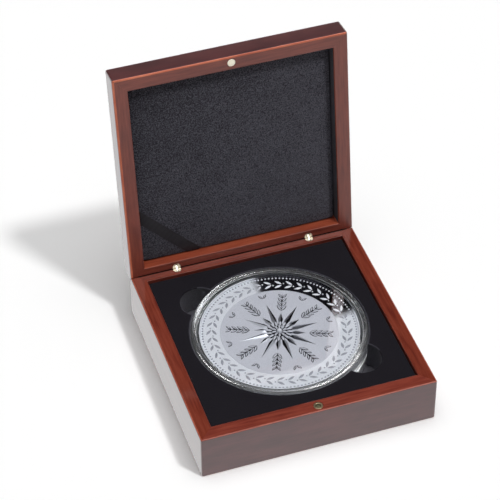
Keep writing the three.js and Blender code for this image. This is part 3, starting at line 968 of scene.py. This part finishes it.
@dataclass
class LidLining:
    """Padded velour liner in the lid, on its card, with the certificate ribbon across a corner."""

    hinging: Hinging
    opening_half: float = 65.7
    margin: float = 1.0
    corner: float = 0.6
    corner_power: int = 12
    free_depth: float = 6.0
    pad: float = 2.2
    crown: float = 0.45
    crown_power: int = 4
    edge_drop: float = 0.9
    edge_power: int = 24
    pad_cuts: int = 47
    ribbon_width: float = 7.3
    ribbon_reach: float = 25.6
    ribbon_thickness: float = 0.3
    ribbon_gap: float = 0.1
    ribbon_steps: tuple[int, int] = (72, 6)
    side_gap: float = 0.3
    tuck: float = 1.8

    def build(self) -> None:
        """Makes the pad and the ribbon, and dresses the card."""
        self.make_pad()
        self.make_ribbon()
        dress_node("lid_liner_board", BOARD)

    def make_pad(self) -> None:
        """Makes the crowned pad, flat only at its back."""
        half = self.opening_half - self.margin
        low, back = self.free_depth + self.edge_drop, self.free_depth + self.pad
        shape = bmesh.new()
        bmesh.ops.create_cube(shape, size=2.0)
        bmesh.ops.subdivide_edges(shape, edges=shape.edges, cuts=self.pad_cuts, use_grid_fill=True)
        for vert in shape.verts:
            x, y, z = vert.co
            side = half - self.corner * (abs(x) * abs(y)) ** self.corner_power
            face = z < -0.999
            height = self.face_depth(x, y) if face else low + (back - low) * (z + 1) / 2
            vert.co = (x * side * MM, y * side * MM, height * MM)
        shape.transform(self.hinging.lid_place())
        bmesh.ops.recalc_face_normals(shape, faces=shape.faces)
        pad = make_piece(
            shape, "padded_liner", "lid", (LINER_VELOUR,), ["lid_liner_pad"], smooth=60.0
        )

    def face_depth(self, x: float, y: float) -> float:
        """How deep the pad's face lies under the lid's rim.

        Args:
            x: Sideways place, as a share of the pad's half width.
            y: The same from front to rear.

        Returns:
            The depth in millimetres: least in the middle, and falling off at the edges.
        """
        out_x, out_y = min(abs(x), 1.0), min(abs(y), 1.0)
        edge = max(out_x, out_y) ** self.edge_power
        rise = (1 - out_x**self.crown_power) * (1 - out_y**self.crown_power)
        return self.free_depth + edge * self.edge_drop + (1 - rise) * self.crown * (1 - edge)

    def make_ribbon(self) -> None:
        """Makes the band across the corner, with both ends tucked behind the pad's edge."""
        half, stack = self.opening_half - self.margin, self.ribbon_thickness / 2
        edge = self.opening_half - self.side_gap - stack
        middle = 2 * self.opening_half - self.ribbon_reach * math.sqrt(2)
        start, end = Vector((-edge, middle - edge, 0)), Vector((edge - middle, edge, 0))
        ahead, side = (end - start).normalized(), Vector((1, -1, 0)).normalized()
        run = (end - start).length
        full = run + 2 * self.tuck
        shape = bmesh.new()
        steps, threads = self.ribbon_steps
        bmesh.ops.create_grid(shape, x_segments=steps, y_segments=threads, size=0.5)
        cloth = shape.loops.layers.uv.new("cloth")
        for loop in (loop for face in shape.faces for loop in face.loops):
            along, across, _ = loop.vert.co
            loop[cloth].uv = (along * full * MM, across * self.ribbon_width * MM)
        for vert in shape.verts:
            # The ends lie against the walls, so each thread meets its wall at its own place.
            across = vert.co.y * self.ribbon_width
            along = run / 2 + vert.co.x * full
            held = min(max(along, -across), run + across)
            over = max(-across - along, along - run - across, 0.0)
            point = start + ahead * held + side * across
            under = self.face_depth(point.x / half, point.y / half)
            height = under - self.ribbon_gap - stack + over
            vert.co = (point.x * MM, point.y * MM, height * MM)
        bmesh.ops.recalc_face_normals(shape, faces=shape.faces)
        bmesh.ops.solidify(shape, geom=shape.faces, thickness=self.ribbon_thickness * MM)
        shape.transform(self.hinging.lid_place())
        bmesh.ops.recalc_face_normals(shape, faces=shape.faces)
        make_piece(
            shape, "woven_ribbon", "lid", (RIBBON,), ["certificate_ribbon"], smooth=40.0
        )


@dataclass
class BarrelHinges:
    """Two concealed barrel hinges: slotted brass barrels, each pair joined by a link on two pins."""

    ease: float = 0.45
    steeper: float = 40.0

    def build(self) -> None:
        """Makes the barrels and dresses the links and pins."""
        for side in ("left", "right"):
            for half in ("base", "lid"):
                node = f"{side}_hinge_{half}_barrel"
                shape = node_copy(node)
                ease_edges(shape, self.ease, self.steeper)
                name = f"{side}_{half}_barrel"
                make_piece(shape, name, half, (BRASS_PAINTED_HIGHLIGHT,), [node], smooth=50.0, flat_faces=True)
                dress_node(f"{side}_hinge_{half}_pin", STEEL)
            dress_node(f"{side}_hinge_link", BRASS_PAINTED_HIGHLIGHT)


@dataclass
class MagneticCatch:
    """Round magnet in a brass cup in the base's front board, and a plain strike disc in the lid's."""

    hinging: Hinging
    rim: float = 32.0
    y: float = -70.35
    magnet_radius: float = 1.5
    magnet_length: float = 3.2
    cup_inner: float = 1.65
    cup_outer: float = 2.85
    cup_depth: float = 4.3
    cup_floor: float = 0.8
    strike_radius: float = 2.5
    strike_depth: float = 1.6
    strike_ease: float = 0.3
    ease: float = 0.2
    inner_ease: float = 0.15
    steps: int = 64

    def build(self) -> None:
        """Makes the cup, the magnet and the disc."""
        top, low = self.rim, self.rim - self.cup_depth
        cup = [
            (0, low),
            (self.cup_outer, low),
            *arc(self.cup_outer - self.ease, top - self.ease, self.ease, 0, 90, 3),
            *arc(self.cup_inner + self.inner_ease, top - self.inner_ease, self.inner_ease, 90, 180, 3),
            (self.cup_inner, low + self.cup_floor),
            (0, low + self.cup_floor),
        ]
        magnet = [
            (0, top - self.magnet_length),
            (self.magnet_radius, top - self.magnet_length),
            *arc(self.magnet_radius - self.ease, top - self.ease, self.ease, 0, 90, 3),
            (0, top),
        ]
        disc = [
            (0, 0),
            *arc(self.strike_radius - self.strike_ease, self.strike_ease, self.strike_ease, -90, 0, 4),
            (self.strike_radius, self.strike_depth),
            (0, self.strike_depth),
        ]
        seat = Matrix.Translation((0, self.y * MM, 0))
        lid_seat = self.hinging.lid_place() @ seat
        for profile, place, name, body, slot, finish, node in (
            (cup, seat, "magnet_cup", "base", "brass", BRASS, "catch_magnet_cup"),
            (magnet, seat, "round_magnet", "base", "magnet", MAGNET, "catch_magnet"),
            (disc, lid_seat, "strike_disc", "lid", "brass", BRASS_PAINTED_HIGHLIGHT, "catch_strike_disc"),
        ):
            shape = turned(profile, self.steps)
            shape.transform(place)
            make_piece(shape, name, body, (finish,), [node])


@dataclass
class ClearCapsule:
    """Two-part clear capsule: plates, skirts that meet below the middle, and rings that centre the coin."""

    floor: float = 10.9
    radius: float = 55.2
    height: float = 20.0
    plate: float = 2.2
    skirt: float = 1.5
    ring_inner: float = 50.6
    ring_outer: float = 51.5
    ring_height: float = 3.4
    tongue_outer: float = 53.6
    tongue_inner: float = 52.5
    tongue_low: float = 6.2
    split_low: float = 9.05
    split_high: float = 9.35
    ease: float = 0.9
    inner_ease: float = 0.5
    ring_ease: float = 0.3
    lip: float = 1.9
    lip_end: float = 112.0
    window: float = 51.4
    sinking: float = 0.4
    steps: int = 192

    def build(self) -> list[bpy.types.Object]:
        """Makes both shells.

        Returns:
            The shells, the lower one first.
        """
        inner, deep, bend = self.radius - self.skirt, self.inner_ease, self.ring_ease
        lower = [
            (0, 0),
            *arc(self.radius - self.ease, self.ease, self.ease, -90, 0),
            (self.radius, self.split_low),
            (inner, self.split_low),
            *arc(inner - deep, self.plate + deep, deep, 0, -90, 3),
            *arc(self.ring_outer + bend, self.plate + bend, bend, -90, -180, 2),
            (self.ring_outer, self.plate + self.ring_height),
            (self.ring_inner, self.plate + self.ring_height),
            (self.ring_inner, self.plate),
            (0, self.plate),
        ]
        under, face = self.height - self.plate, self.height - self.sinking
        upper = [
            (0, under),
            (self.ring_inner, under),
            (self.ring_inner, under - self.ring_height),
            (self.ring_outer, under - self.ring_height),
            *arc(self.ring_outer + bend, under - bend, bend, 180, 90, 2),
            (self.tongue_inner, under),
            (self.tongue_inner, self.tongue_low),
            (self.tongue_outer, self.tongue_low),
            (self.tongue_outer, self.split_high),
            (self.radius, self.split_high),
            *arc(self.radius - self.lip, self.height - self.lip, self.lip, 0, self.lip_end, 12),
            # The lip runs out into the window over its last half millimetre.
            (self.window + 0.5, face + 0.04),
            (self.window + 0.2, face),
            (self.window, face),
            (0, face),
        ]
        return [self.shell(lower, "lower", "capsule"), self.shell(upper, "upper", "capsule_cap")]

    def shell(self, profile: Profile, half: str, body: str) -> bpy.types.Object:
        """Makes one shell.

        Args:
            profile: Its half profile, with the capsule's underside at zero.
            half: Which shell it is.
            body: The body that it rides on.

        Returns:
            The shell.
        """
        shape = turned(profile, self.steps)
        self.mark_rim(shape)
        shape.transform(Matrix.Translation((0, 0, self.floor * MM)))
        finishes = (ACRYLIC, SATIN_ACRYLIC, RIM_ACRYLIC)
        name, node = f"capsule_{half}_moulding", f"capsule_{half}_shell"
        return make_piece(shape, name, body, finishes, [node])

    def mark_rim(self, shape: Shape) -> None:
        """Numbers the rim's faces, and the walls inside it, which the mould leaves satin.

        Args:
            shape: A shell, with the capsule's underside at zero.
        """
        for face in shape.faces:
            x, y, height = (part / MM for part in face.calc_center_median())
            reach = math.hypot(x, y)
            inner = self.tongue_inner - 0.1 < reach < self.radius - self.skirt + 0.1
            if inner and self.inner_ease < height < self.height - self.lip:
                face.material_index = 1
            elif reach > self.window:
                face.material_index = 2


@dataclass
class StruckCoin:
    """Large silver coin with generic ornament: a bead border, a leaf wreath and a rayed star."""

    floor: float = 13.4
    thickness: float = 14.6
    radius: float = 50.3
    rim: float = 1.1
    bevel: float = 0.3
    field_depth: float = 1.1
    reeds: int = 216
    reed_depth: float = 0.3
    bead_count: int = 132
    bead_radius: float = 0.6
    bead_circle: float = 47.9
    ring_radius: float = 36.7
    ring_width: float = 0.5
    ring_height: float = 0.25
    wreath_radius: float = 42.3
    wreath_pairs: int = 40
    wreath_leaf: tuple[float, float, float] = (5.4, 1.9, 0.35)
    wreath_spread: float = 1.75
    wreath_lean: float = 32.0
    berry_radius: float = 0.5
    berry_spread: float = 0.9
    points: int = 8
    root_radius: float = 11.8
    ridge_at: float = 0.8
    sunk: float = 0.3
    # The short rays' and the long rays' length, turn and height.
    rays: tuple[tuple[float, float, float], ...] = ((19.2, 22.5, 0.7), (30.5, 0.0, 0.9))
    # Each row of petals' count, distance from the middle, length, width and height.
    petals: tuple[tuple[float, ...], ...] = ((16, 6.6, 5.2, 2.1, 1.5), (10, 3.6, 4.4, 2.0, 1.9))
    petal_outline: float = 0.5
    petal_drop: float = 0.3
    boss: tuple[float, float, float] = (1.9, 1.9, 2.4)
    leaf_point: float = 0.35
    # The sprigs' turn, the first leaf's distance from the middle, how many pairs, and its length.
    laurels: tuple[tuple[float, float, int, float], ...] = ((22.5, 21.0, 4, 5.0), (0.0, 32.6, 1, 3.2))
    laurel_step: float = 3.6
    laurel_spread: float = 1.35
    laurel_lean: float = 34.0
    laurel_taper: float = 0.1
    laurel_width: float = 0.26
    laurel_outline: float = 0.9
    laurel_heights: tuple[float, float] = (0.5, 0.25)
    stem: tuple[float, float, float] = (15.0, 0.55, 0.3)
    stem_radius: float = 26.5

    def build(self) -> None:
        """Strikes the blank and its relief."""
        self.blank()
        self.beads()
        self.wreath()
        self.star()
        self.rosette()
        self.sprigs()

    def field(self) -> float:
        """The height of the sunk face."""
        return self.floor + self.thickness - self.field_depth

    def blank(self) -> None:
        """Makes the reeded blank with its rim, its polished band and its frosted middle."""
        top, low, face = self.floor + self.thickness, self.floor, self.field()
        inside, half = self.radius - self.rim, self.ring_width / 2
        profile = [
            (0, face),
            (self.ring_radius - half, face),
            (self.ring_radius - half * 0.5, face + self.ring_height),
            (self.ring_radius + half * 0.5, face + self.ring_height),
            (self.ring_radius + half, face),
            # The rim rises steeply from the face, with a small rounding on top.
            (inside - 0.25, face),
            (inside - 0.08, top - 0.12),
            (inside + 0.06, top),
            (self.radius - self.bevel, top),
            (self.radius, top - self.bevel),
            (self.radius, low + self.bevel),
            (self.radius - self.bevel, low),
            (inside, low),
            (inside - 0.2, low + self.field_depth),
            (0, low + self.field_depth),
        ]
        shape = turned(profile, 2 * self.reeds)
        self.cut_reeds(shape)
        for part in shape.faces:
            middle = part.calc_center_median()
            reach = math.hypot(middle.x, middle.y) / MM
            upward = middle.z > (self.floor + self.thickness / 2) * MM
            if not upward or reach > self.radius - self.bevel:
                part.material_index = 2
            elif reach < self.ring_radius + half:
                part.material_index = 1
        # The band's sector towards the rear right is painted dark as a reflection; see BandSilver.
        finishes = (BAND_SILVER, FROSTED_SILVER, EDGE_SILVER)
        make_piece(shape, "struck_blank", "capsule", finishes, ["coin"], smooth=20.0)

    def cut_reeds(self, shape: Shape) -> None:
        """Sinks every second line of the coin's edge.

        Args:
            shape: The blank.
        """
        for vert in shape.verts:
            x, y, z = vert.co
            reach = math.hypot(x, y)
            step = round(math.atan2(y, x) / math.pi * self.reeds)
            if reach > (self.radius - 0.05) * MM and step % 2:
                share = 1 - self.reed_depth * MM / reach
                vert.co = (x * share, y * share, z)

    def spot(self, radius: float, turn: float) -> Matrix:
        """A place on the sunk face, turned to look outwards.

        Args:
            radius: Its distance from the middle, in millimetres.
            turn: Its direction in degrees.

        Returns:
            The matrix that puts a shape there, with its X axis outwards.
        """
        spin = Matrix.Rotation(math.radians(turn), 4, "Z")
        return spin @ Matrix.Translation((radius * MM, 0, self.field() * MM))

    def relief(self, shape: Shape, name: str, *finishes: Finish, smooth: float = 60.0) -> None:
        """Makes a piece of the coin's relief; see make_piece."""
        make_piece(shape, name, "capsule", finishes, smooth=smooth)

    def dome(self, radius: float) -> Shape:
        """A small ball, of which the upper half stands out of the coin.

        Args:
            radius: Its radius in millimetres.

        Returns:
            The ball, centred on the origin.
        """
        shape = bmesh.new()
        bmesh.ops.create_uvsphere(shape, u_segments=8, v_segments=6, radius=radius * MM)
        return shape

    def leaf(self, length: float, width: float, height: float) -> Shape:
        """A low leaf along X with a pointed end at each side.

        Args:
            length: Its length in millimetres.
            width: Its greatest width.
            height: How far its middle rises.

        Returns:
            The leaf, centred on the origin.
        """
        shape = bmesh.new()
        bmesh.ops.create_uvsphere(shape, u_segments=8, v_segments=7, radius=1.0)
        lying = Matrix.Rotation(math.pi / 2, 3, "Y")
        bmesh.ops.rotate(shape, verts=shape.verts, cent=(0, 0, 0), matrix=lying)
        for vert in shape.verts:
            x, y, z = vert.co
            taper = (1 - min(1.0, abs(x))) ** self.leaf_point
            vert.co = (x * length / 2 * MM, y * taper * width / 2 * MM, z * taper * height * MM)
        return shape

    def beads(self) -> None:
        """Makes the border of small domes."""
        whole = bmesh.new()
        turn = 360 / self.bead_count
        bead = self.dome(self.bead_radius)
        repeat(whole, bead, self.bead_count, lambda i: self.spot(self.bead_circle, turn * i))
        self.relief(whole, "bead_border", ORNAMENT_SILVER)

    def wreath(self) -> None:
        """Makes the wreath of paired leaves on the polished band, with a berry between pairs."""
        turn, count, middle = 360 / self.wreath_pairs, self.wreath_pairs, self.wreath_radius
        whole = bmesh.new()
        for side in (1, -1):
            reach = middle + side * self.wreath_spread
            lean = Matrix.Rotation(math.radians(90 - side * self.wreath_lean), 4, "Z")
            leaf = self.leaf(*self.wreath_leaf)
            repeat(whole, leaf, count, lambda i: self.spot(reach, turn * i) @ lean)
        berry, out = self.dome(self.berry_radius), self.berry_spread
        reaches = (middle - out, middle + out)
        repeat(whole, berry, count, lambda i: self.spot(reaches[i % 2], turn * (i + 0.5)))
        self.relief(whole, "leaf_wreath", ORNAMENT_SILVER)

    def ray(self, length: float, height: float) -> Shape:
        """One ridged ray along X, with a face on each side of its ridge.

        Args:
            length: From the middle to its tip, in millimetres.
            height: How far its ridge rises at the root.

        Returns:
            The ray, with its left faces numbered 1.
        """
        shape = bmesh.new()
        bmesh.ops.create_cone(shape, cap_ends=True, segments=4, radius1=1.0, radius2=0.0, depth=1.0)
        turn, root = math.pi / (2 * self.points), self.root_radius
        x, y = root * math.cos(turn), root * math.sin(turn)
        corners = [v for v in shape.verts if v.co.z < 0]
        corners.sort(key=lambda v: math.atan2(v.co.y, v.co.x) % (2 * math.pi))
        for vert in shape.verts:
            vert.co = (root * self.ridge_at * MM, 0, height * MM)
        for vert, spot in zip(corners, ((length, 0), (x, y), (0, 0), (x, -y))):
            vert.co = (spot[0] * MM, spot[1] * MM, -self.sunk * MM)
        bmesh.ops.recalc_face_normals(shape, faces=shape.faces)
        # Painted shade: one flank of each ray is painted dark, the other kept light.
        for face in shape.faces:
            face.material_index = 1 if face.normal.y > 0.01 else 0
        return shape

    def star(self) -> None:
        """Makes the star of long and short rays."""
        whole = bmesh.new()
        turn = 360 / self.points
        for length, offset, height in self.rays:
            ray = self.ray(length, height)
            repeat(whole, ray, self.points, lambda i: self.spot(0, turn * i + offset))
        self.relief(whole, "rayed_star", SILVER_PAINTED_DARK_REFLECTION, RELIEF_SILVER, smooth=1.0)

    def rosette(self) -> None:
        """Makes the rosette in the star's middle: pale petals, each on one painted dark that outlines it.
        """
        pale, dark = bmesh.new(), bmesh.new()
        for count, radius, length, width, height in self.petals:
            for whole, grown, lower in ((pale, 0.0, 0.0), (dark, self.petal_outline, self.petal_drop)):
                petal = self.leaf(length + grown, width + grown, height - lower)
                repeat(whole, petal, count, lambda i: self.spot(radius, 360 * i / count))
        boss = bmesh.new()
        bmesh.ops.create_uvsphere(boss, u_segments=24, v_segments=12, radius=1.0)
        bmesh.ops.scale(boss, verts=boss.verts, vec=[size * MM for size in self.boss])
        repeat(pale, boss, 1, lambda i: self.spot(0, i))
        self.relief(pale, "rosette_petals", FROSTED_SILVER)
        self.relief(dark, "rosette_outlines", SILVER_PAINTED_DARK_REFLECTION)

    def sprigs(self) -> None:
        """Makes the laurel sprigs between the rays: pale leaves, each on one painted dark that outlines it.
        """
        pale, dark = bmesh.new(), bmesh.new()
        turn = 360 / self.points
        for offset, start, pairs, size in self.laurels:
            for row, side in ((row, side) for row in range(pairs) for side in (1, -1)):
                reach, length = start + row * self.laurel_step, size * (1 - self.laurel_taper * row)
                aside = Matrix.Translation((0, side * self.laurel_spread * MM, 0))
                lean = aside @ Matrix.Rotation(math.radians(side * self.laurel_lean), 4, "Z")
                growth = (0.0, self.laurel_outline)
                for whole, grown, height in zip((pale, dark), growth, self.laurel_heights):
                    leaf = self.leaf(length + grown, length * self.laurel_width + grown, height)
                    repeat(whole, leaf, self.points, lambda i: self.spot(reach, turn * i + offset) @ lean)
        stem = self.leaf(*self.stem)
        repeat(dark, stem, self.points, lambda i: self.spot(self.stem_radius, turn * (i + 0.5)))
        self.relief(pale, "laurel_leaves", FROSTED_SILVER)
        self.relief(dark, "laurel_outlines", SILVER_PAINTED_DARK_REFLECTION)


# Studio


@dataclass
class Studio:
    """White floor, soft overhead light, one broad key lamp and the camera."""

    focal: float = 2143.885
    picture: float = 500.0
    sensor: float = 36.0
    yaw: float = -0.3197
    pitch: float = 0.7484
    roll: float = -0.0076
    stand: tuple[float, float, float] = (-0.31302, -0.88842, 0.97170)
    floor_half: float = 6.0
    key_from: tuple[float, float, float] = (0.295, -0.37, 0.881)
    key_share: float = 0.36
    key_spread: float = 6.0
    ceiling_power: float = 14.0
    # Each soft box's direction from the case, half its width in degrees, and its brightness.
    streak_lamps: tuple[tuple[float, float, float, float, float], ...] = (
        (-0.672, 0.254, 0.694, 22.0, 18.0),
        (0.551, -0.332, 0.764, 16.0, 18.0),
        (0.459, 0.120, 0.882, 17.0, 18.0),
    )
    streak_distance: float = 1.2
    # What gloss shows: the horizon, the panel overhead and the room behind the camera, each with
    # the axis that it is told by, where it starts and is full, and its brightness.
    room: tuple[tuple[int, float, float, float], ...] = (
        (2, 0.42, 0.05, 1.0),
        (2, 0.80, 0.92, 1.0),
        (1, -0.10, -0.45, 0.8),
    )

    def build(self) -> None:
        """Sets the camera, the floor and the lights."""
        self.camera()
        self.floor()
        self.key()
        self.sky()
        bpy.context.scene.view_settings.view_transform = "Standard"

    def camera(self) -> None:
        """Puts the camera where the photograph was taken."""
        cosine, sine = math.cos(self.pitch), math.sin(self.pitch)
        ahead = Vector((-math.sin(self.yaw) * cosine, math.cos(self.yaw) * cosine, -sine))
        level = Vector((math.cos(self.yaw), math.sin(self.yaw), 0))
        above = level.cross(ahead)
        right = math.cos(self.roll) * level + math.sin(self.roll) * above
        up = -math.sin(self.roll) * level + math.cos(self.roll) * above
        turn = Matrix((right, up, -ahead)).transposed()
        lens = bpy.data.cameras.new("camera")
        lens.sensor_width = self.sensor
        lens.sensor_fit = "HORIZONTAL"
        lens.lens = self.focal / self.picture * self.sensor
        lens.clip_start, lens.clip_end = 0.05, 20.0
        eye = add_object("camera", lens)
        eye.matrix_world = Matrix.Translation(self.stand) @ turn.to_4x4()
        bpy.context.scene.camera = eye

    def floor(self) -> None:
        """Makes the white paper floor, which keeps the case's shadow and is pure white in gloss."""
        mesh = bpy.data.meshes.new("floor")
        shape = bmesh.new()
        bmesh.ops.create_grid(shape, x_segments=2, y_segments=2, size=self.floor_half)
        shape.to_mesh(mesh)
        shape.free()
        paper = bpy.data.materials.new("white_paper_floor")
        paper.use_nodes = True
        paper.node_tree.nodes.clear()
        node = partial(add_node, paper.node_tree)
        lit = node("BsdfDiffuse", {"Color": WHITE})
        white = node("Emission", {"Color": WHITE, "Strength": 1.0})
        surface = node("MixShader", {0: self.mirrored(paper.node_tree), 1: lit, 2: white})
        node("OutputMaterial", {"Surface": surface})
        mesh.materials.append(paper)
        floor = add_object("floor", mesh)

    def mirrored(self, tree: Tree) -> Socket:
        """Tells rays that come by way of gloss or clear plastic from the others.

        Args:
            tree: The node tree that asks.

        Returns:
            The socket that is 1 for such a ray and 0 for another.
        """
        glossy, through = (
            add_node(tree, "LightPath", out=name) for name in ("Is Glossy Ray", "Is Transmission Ray")
        )
        return add_node(tree, "Math", {0: glossy, 1: through}, operation="MAXIMUM")

    def key(self) -> None:
        """Hangs the key lamp at the front right, wide enough for a soft shadow edge."""
        lamp = bpy.data.lights.new("key", "SUN")
        source = Vector(self.key_from).normalized()
        lamp.energy = self.key_share * math.pi / source.z
        lamp.angle = math.radians(self.key_spread)
        holder = add_object("key", lamp)
        holder.rotation_mode = "QUATERNION"
        holder.rotation_quaternion = source.to_track_quat("Z", "Y")

    def streaks(self, pieces: Iterable[bpy.types.Object]) -> None:
        """Hangs soft boxes that only the clear rim shows, as streaks along its lip.

        Args:
            pieces: What the soft boxes are mirrored in.
        """
        shown_in = bpy.data.collections.new("streaks_on_capsule")
        for piece in pieces:
            shown_in.objects.link(piece)
        for *direction, spread, level in self.streak_lamps:
            toward = Vector(direction).normalized()
            lamp = bpy.data.lights.new("streak", "AREA")
            lamp.shape = "DISK"
            lamp.size = 2 * self.streak_distance * math.tan(math.radians(spread))
            lamp.energy = level * (math.pi * lamp.size / 2) ** 2
            holder = add_object("streak", lamp)
            turn = toward.to_track_quat("Z", "Y").to_matrix().to_4x4()
            holder.matrix_world = Matrix.Translation(toward * self.streak_distance) @ turn
            holder.visible_camera = holder.visible_diffuse = holder.visible_transmission = False
            holder.light_linking.receiver_collection = shown_in

    def sky(self) -> None:
        """Lights the case from a soft ceiling, with a white background behind."""
        world = bpy.data.worlds.new("soft_ceiling")
        bpy.context.scene.world = world
        world.use_nodes = True
        world.node_tree.nodes.clear()
        node = partial(add_node, world.node_tree)
        ray = node("TexCoord", out="Generated")
        up = node("Math", {0: node("SeparateXYZ", {0: ray}, out=2), 1: 0.0}, operation="MAXIMUM")
        rise = node("Math", {0: up, 1: self.ceiling_power}, operation="POWER")
        # The ceiling's brightness at its middle gives the floor all the light that the key doesn't.
        fill = (1 - self.key_share) * (self.ceiling_power + 2) / 2
        ceiling = node("Math", {0: rise, 1: fill}, operation="MULTIPLY")
        shown = self.mirrored_sky(world.node_tree, ray)
        mirrored = self.mirrored(world.node_tree)
        lit = node("Mix", {0: mirrored, 2: ceiling, 3: shown}, data_type="FLOAT")
        behind = node("LightPath", out="Is Camera Ray")
        level = node("Math", {0: lit, 1: behind}, operation="MAXIMUM")
        node("OutputWorld", {"Surface": node("Background", {"Color": WHITE, "Strength": level})})

    def mirrored_sky(self, tree: Tree, ray: Socket) -> Socket:
        """What gloss and clear plastic show of the studio; the upper part behind the lid stays dark.

        Args:
            tree: The world's node tree.
            ray: The socket that gives the direction looked in.

        Returns:
            The socket that gives the brightness.
        """
        node = partial(add_node, tree)
        horizon, panel, behind = (
            node(
                "MapRange",
                {0: node("SeparateXYZ", {0: ray}, out=axis), 1: low, 2: high, 3: 0.0, 4: level},
                interpolation_type="SMOOTHSTEP",
            )
            for axis, low, high, level in self.room
        )
        brighter = node("Math", {0: horizon, 1: panel}, operation="MAXIMUM")
        return node("Math", {0: brighter, 1: behind}, operation="MAXIMUM")


def main() -> None:
    """Builds the studio and every sub-assembly."""
    logging.basicConfig(level=logging.INFO, format="%(message)s")
    hinging = Hinging()
    studio = Studio()
    studio.build()
    WoodenBoards().build()
    WoodenBoards(
        "lid",
        # The lid has a broader painted highlight strip on its rim, none on its right board, and velour as
        # painted shade on its side walls.
        painted_highlight_widening=0.6,
        edges_without_painted_highlight=("right",),
        painted_shade_sides=("left", "right"),
        rises=-1,
        deeper=("front", "rear", "left", "right"),
        place=hinging.lid_place(),
        across=Fibres.LID_ACROSS,
        deep=Fibres.LID_DEEP,
    ).build()
    VelourInsert().build()
    LidLining(hinging).build()
    BarrelHinges().build()
    MagneticCatch(hinging).build()
    StruckCoin().build()
    studio.streaks(ClearCapsule().build())


if __name__ == "__main__":
    main()
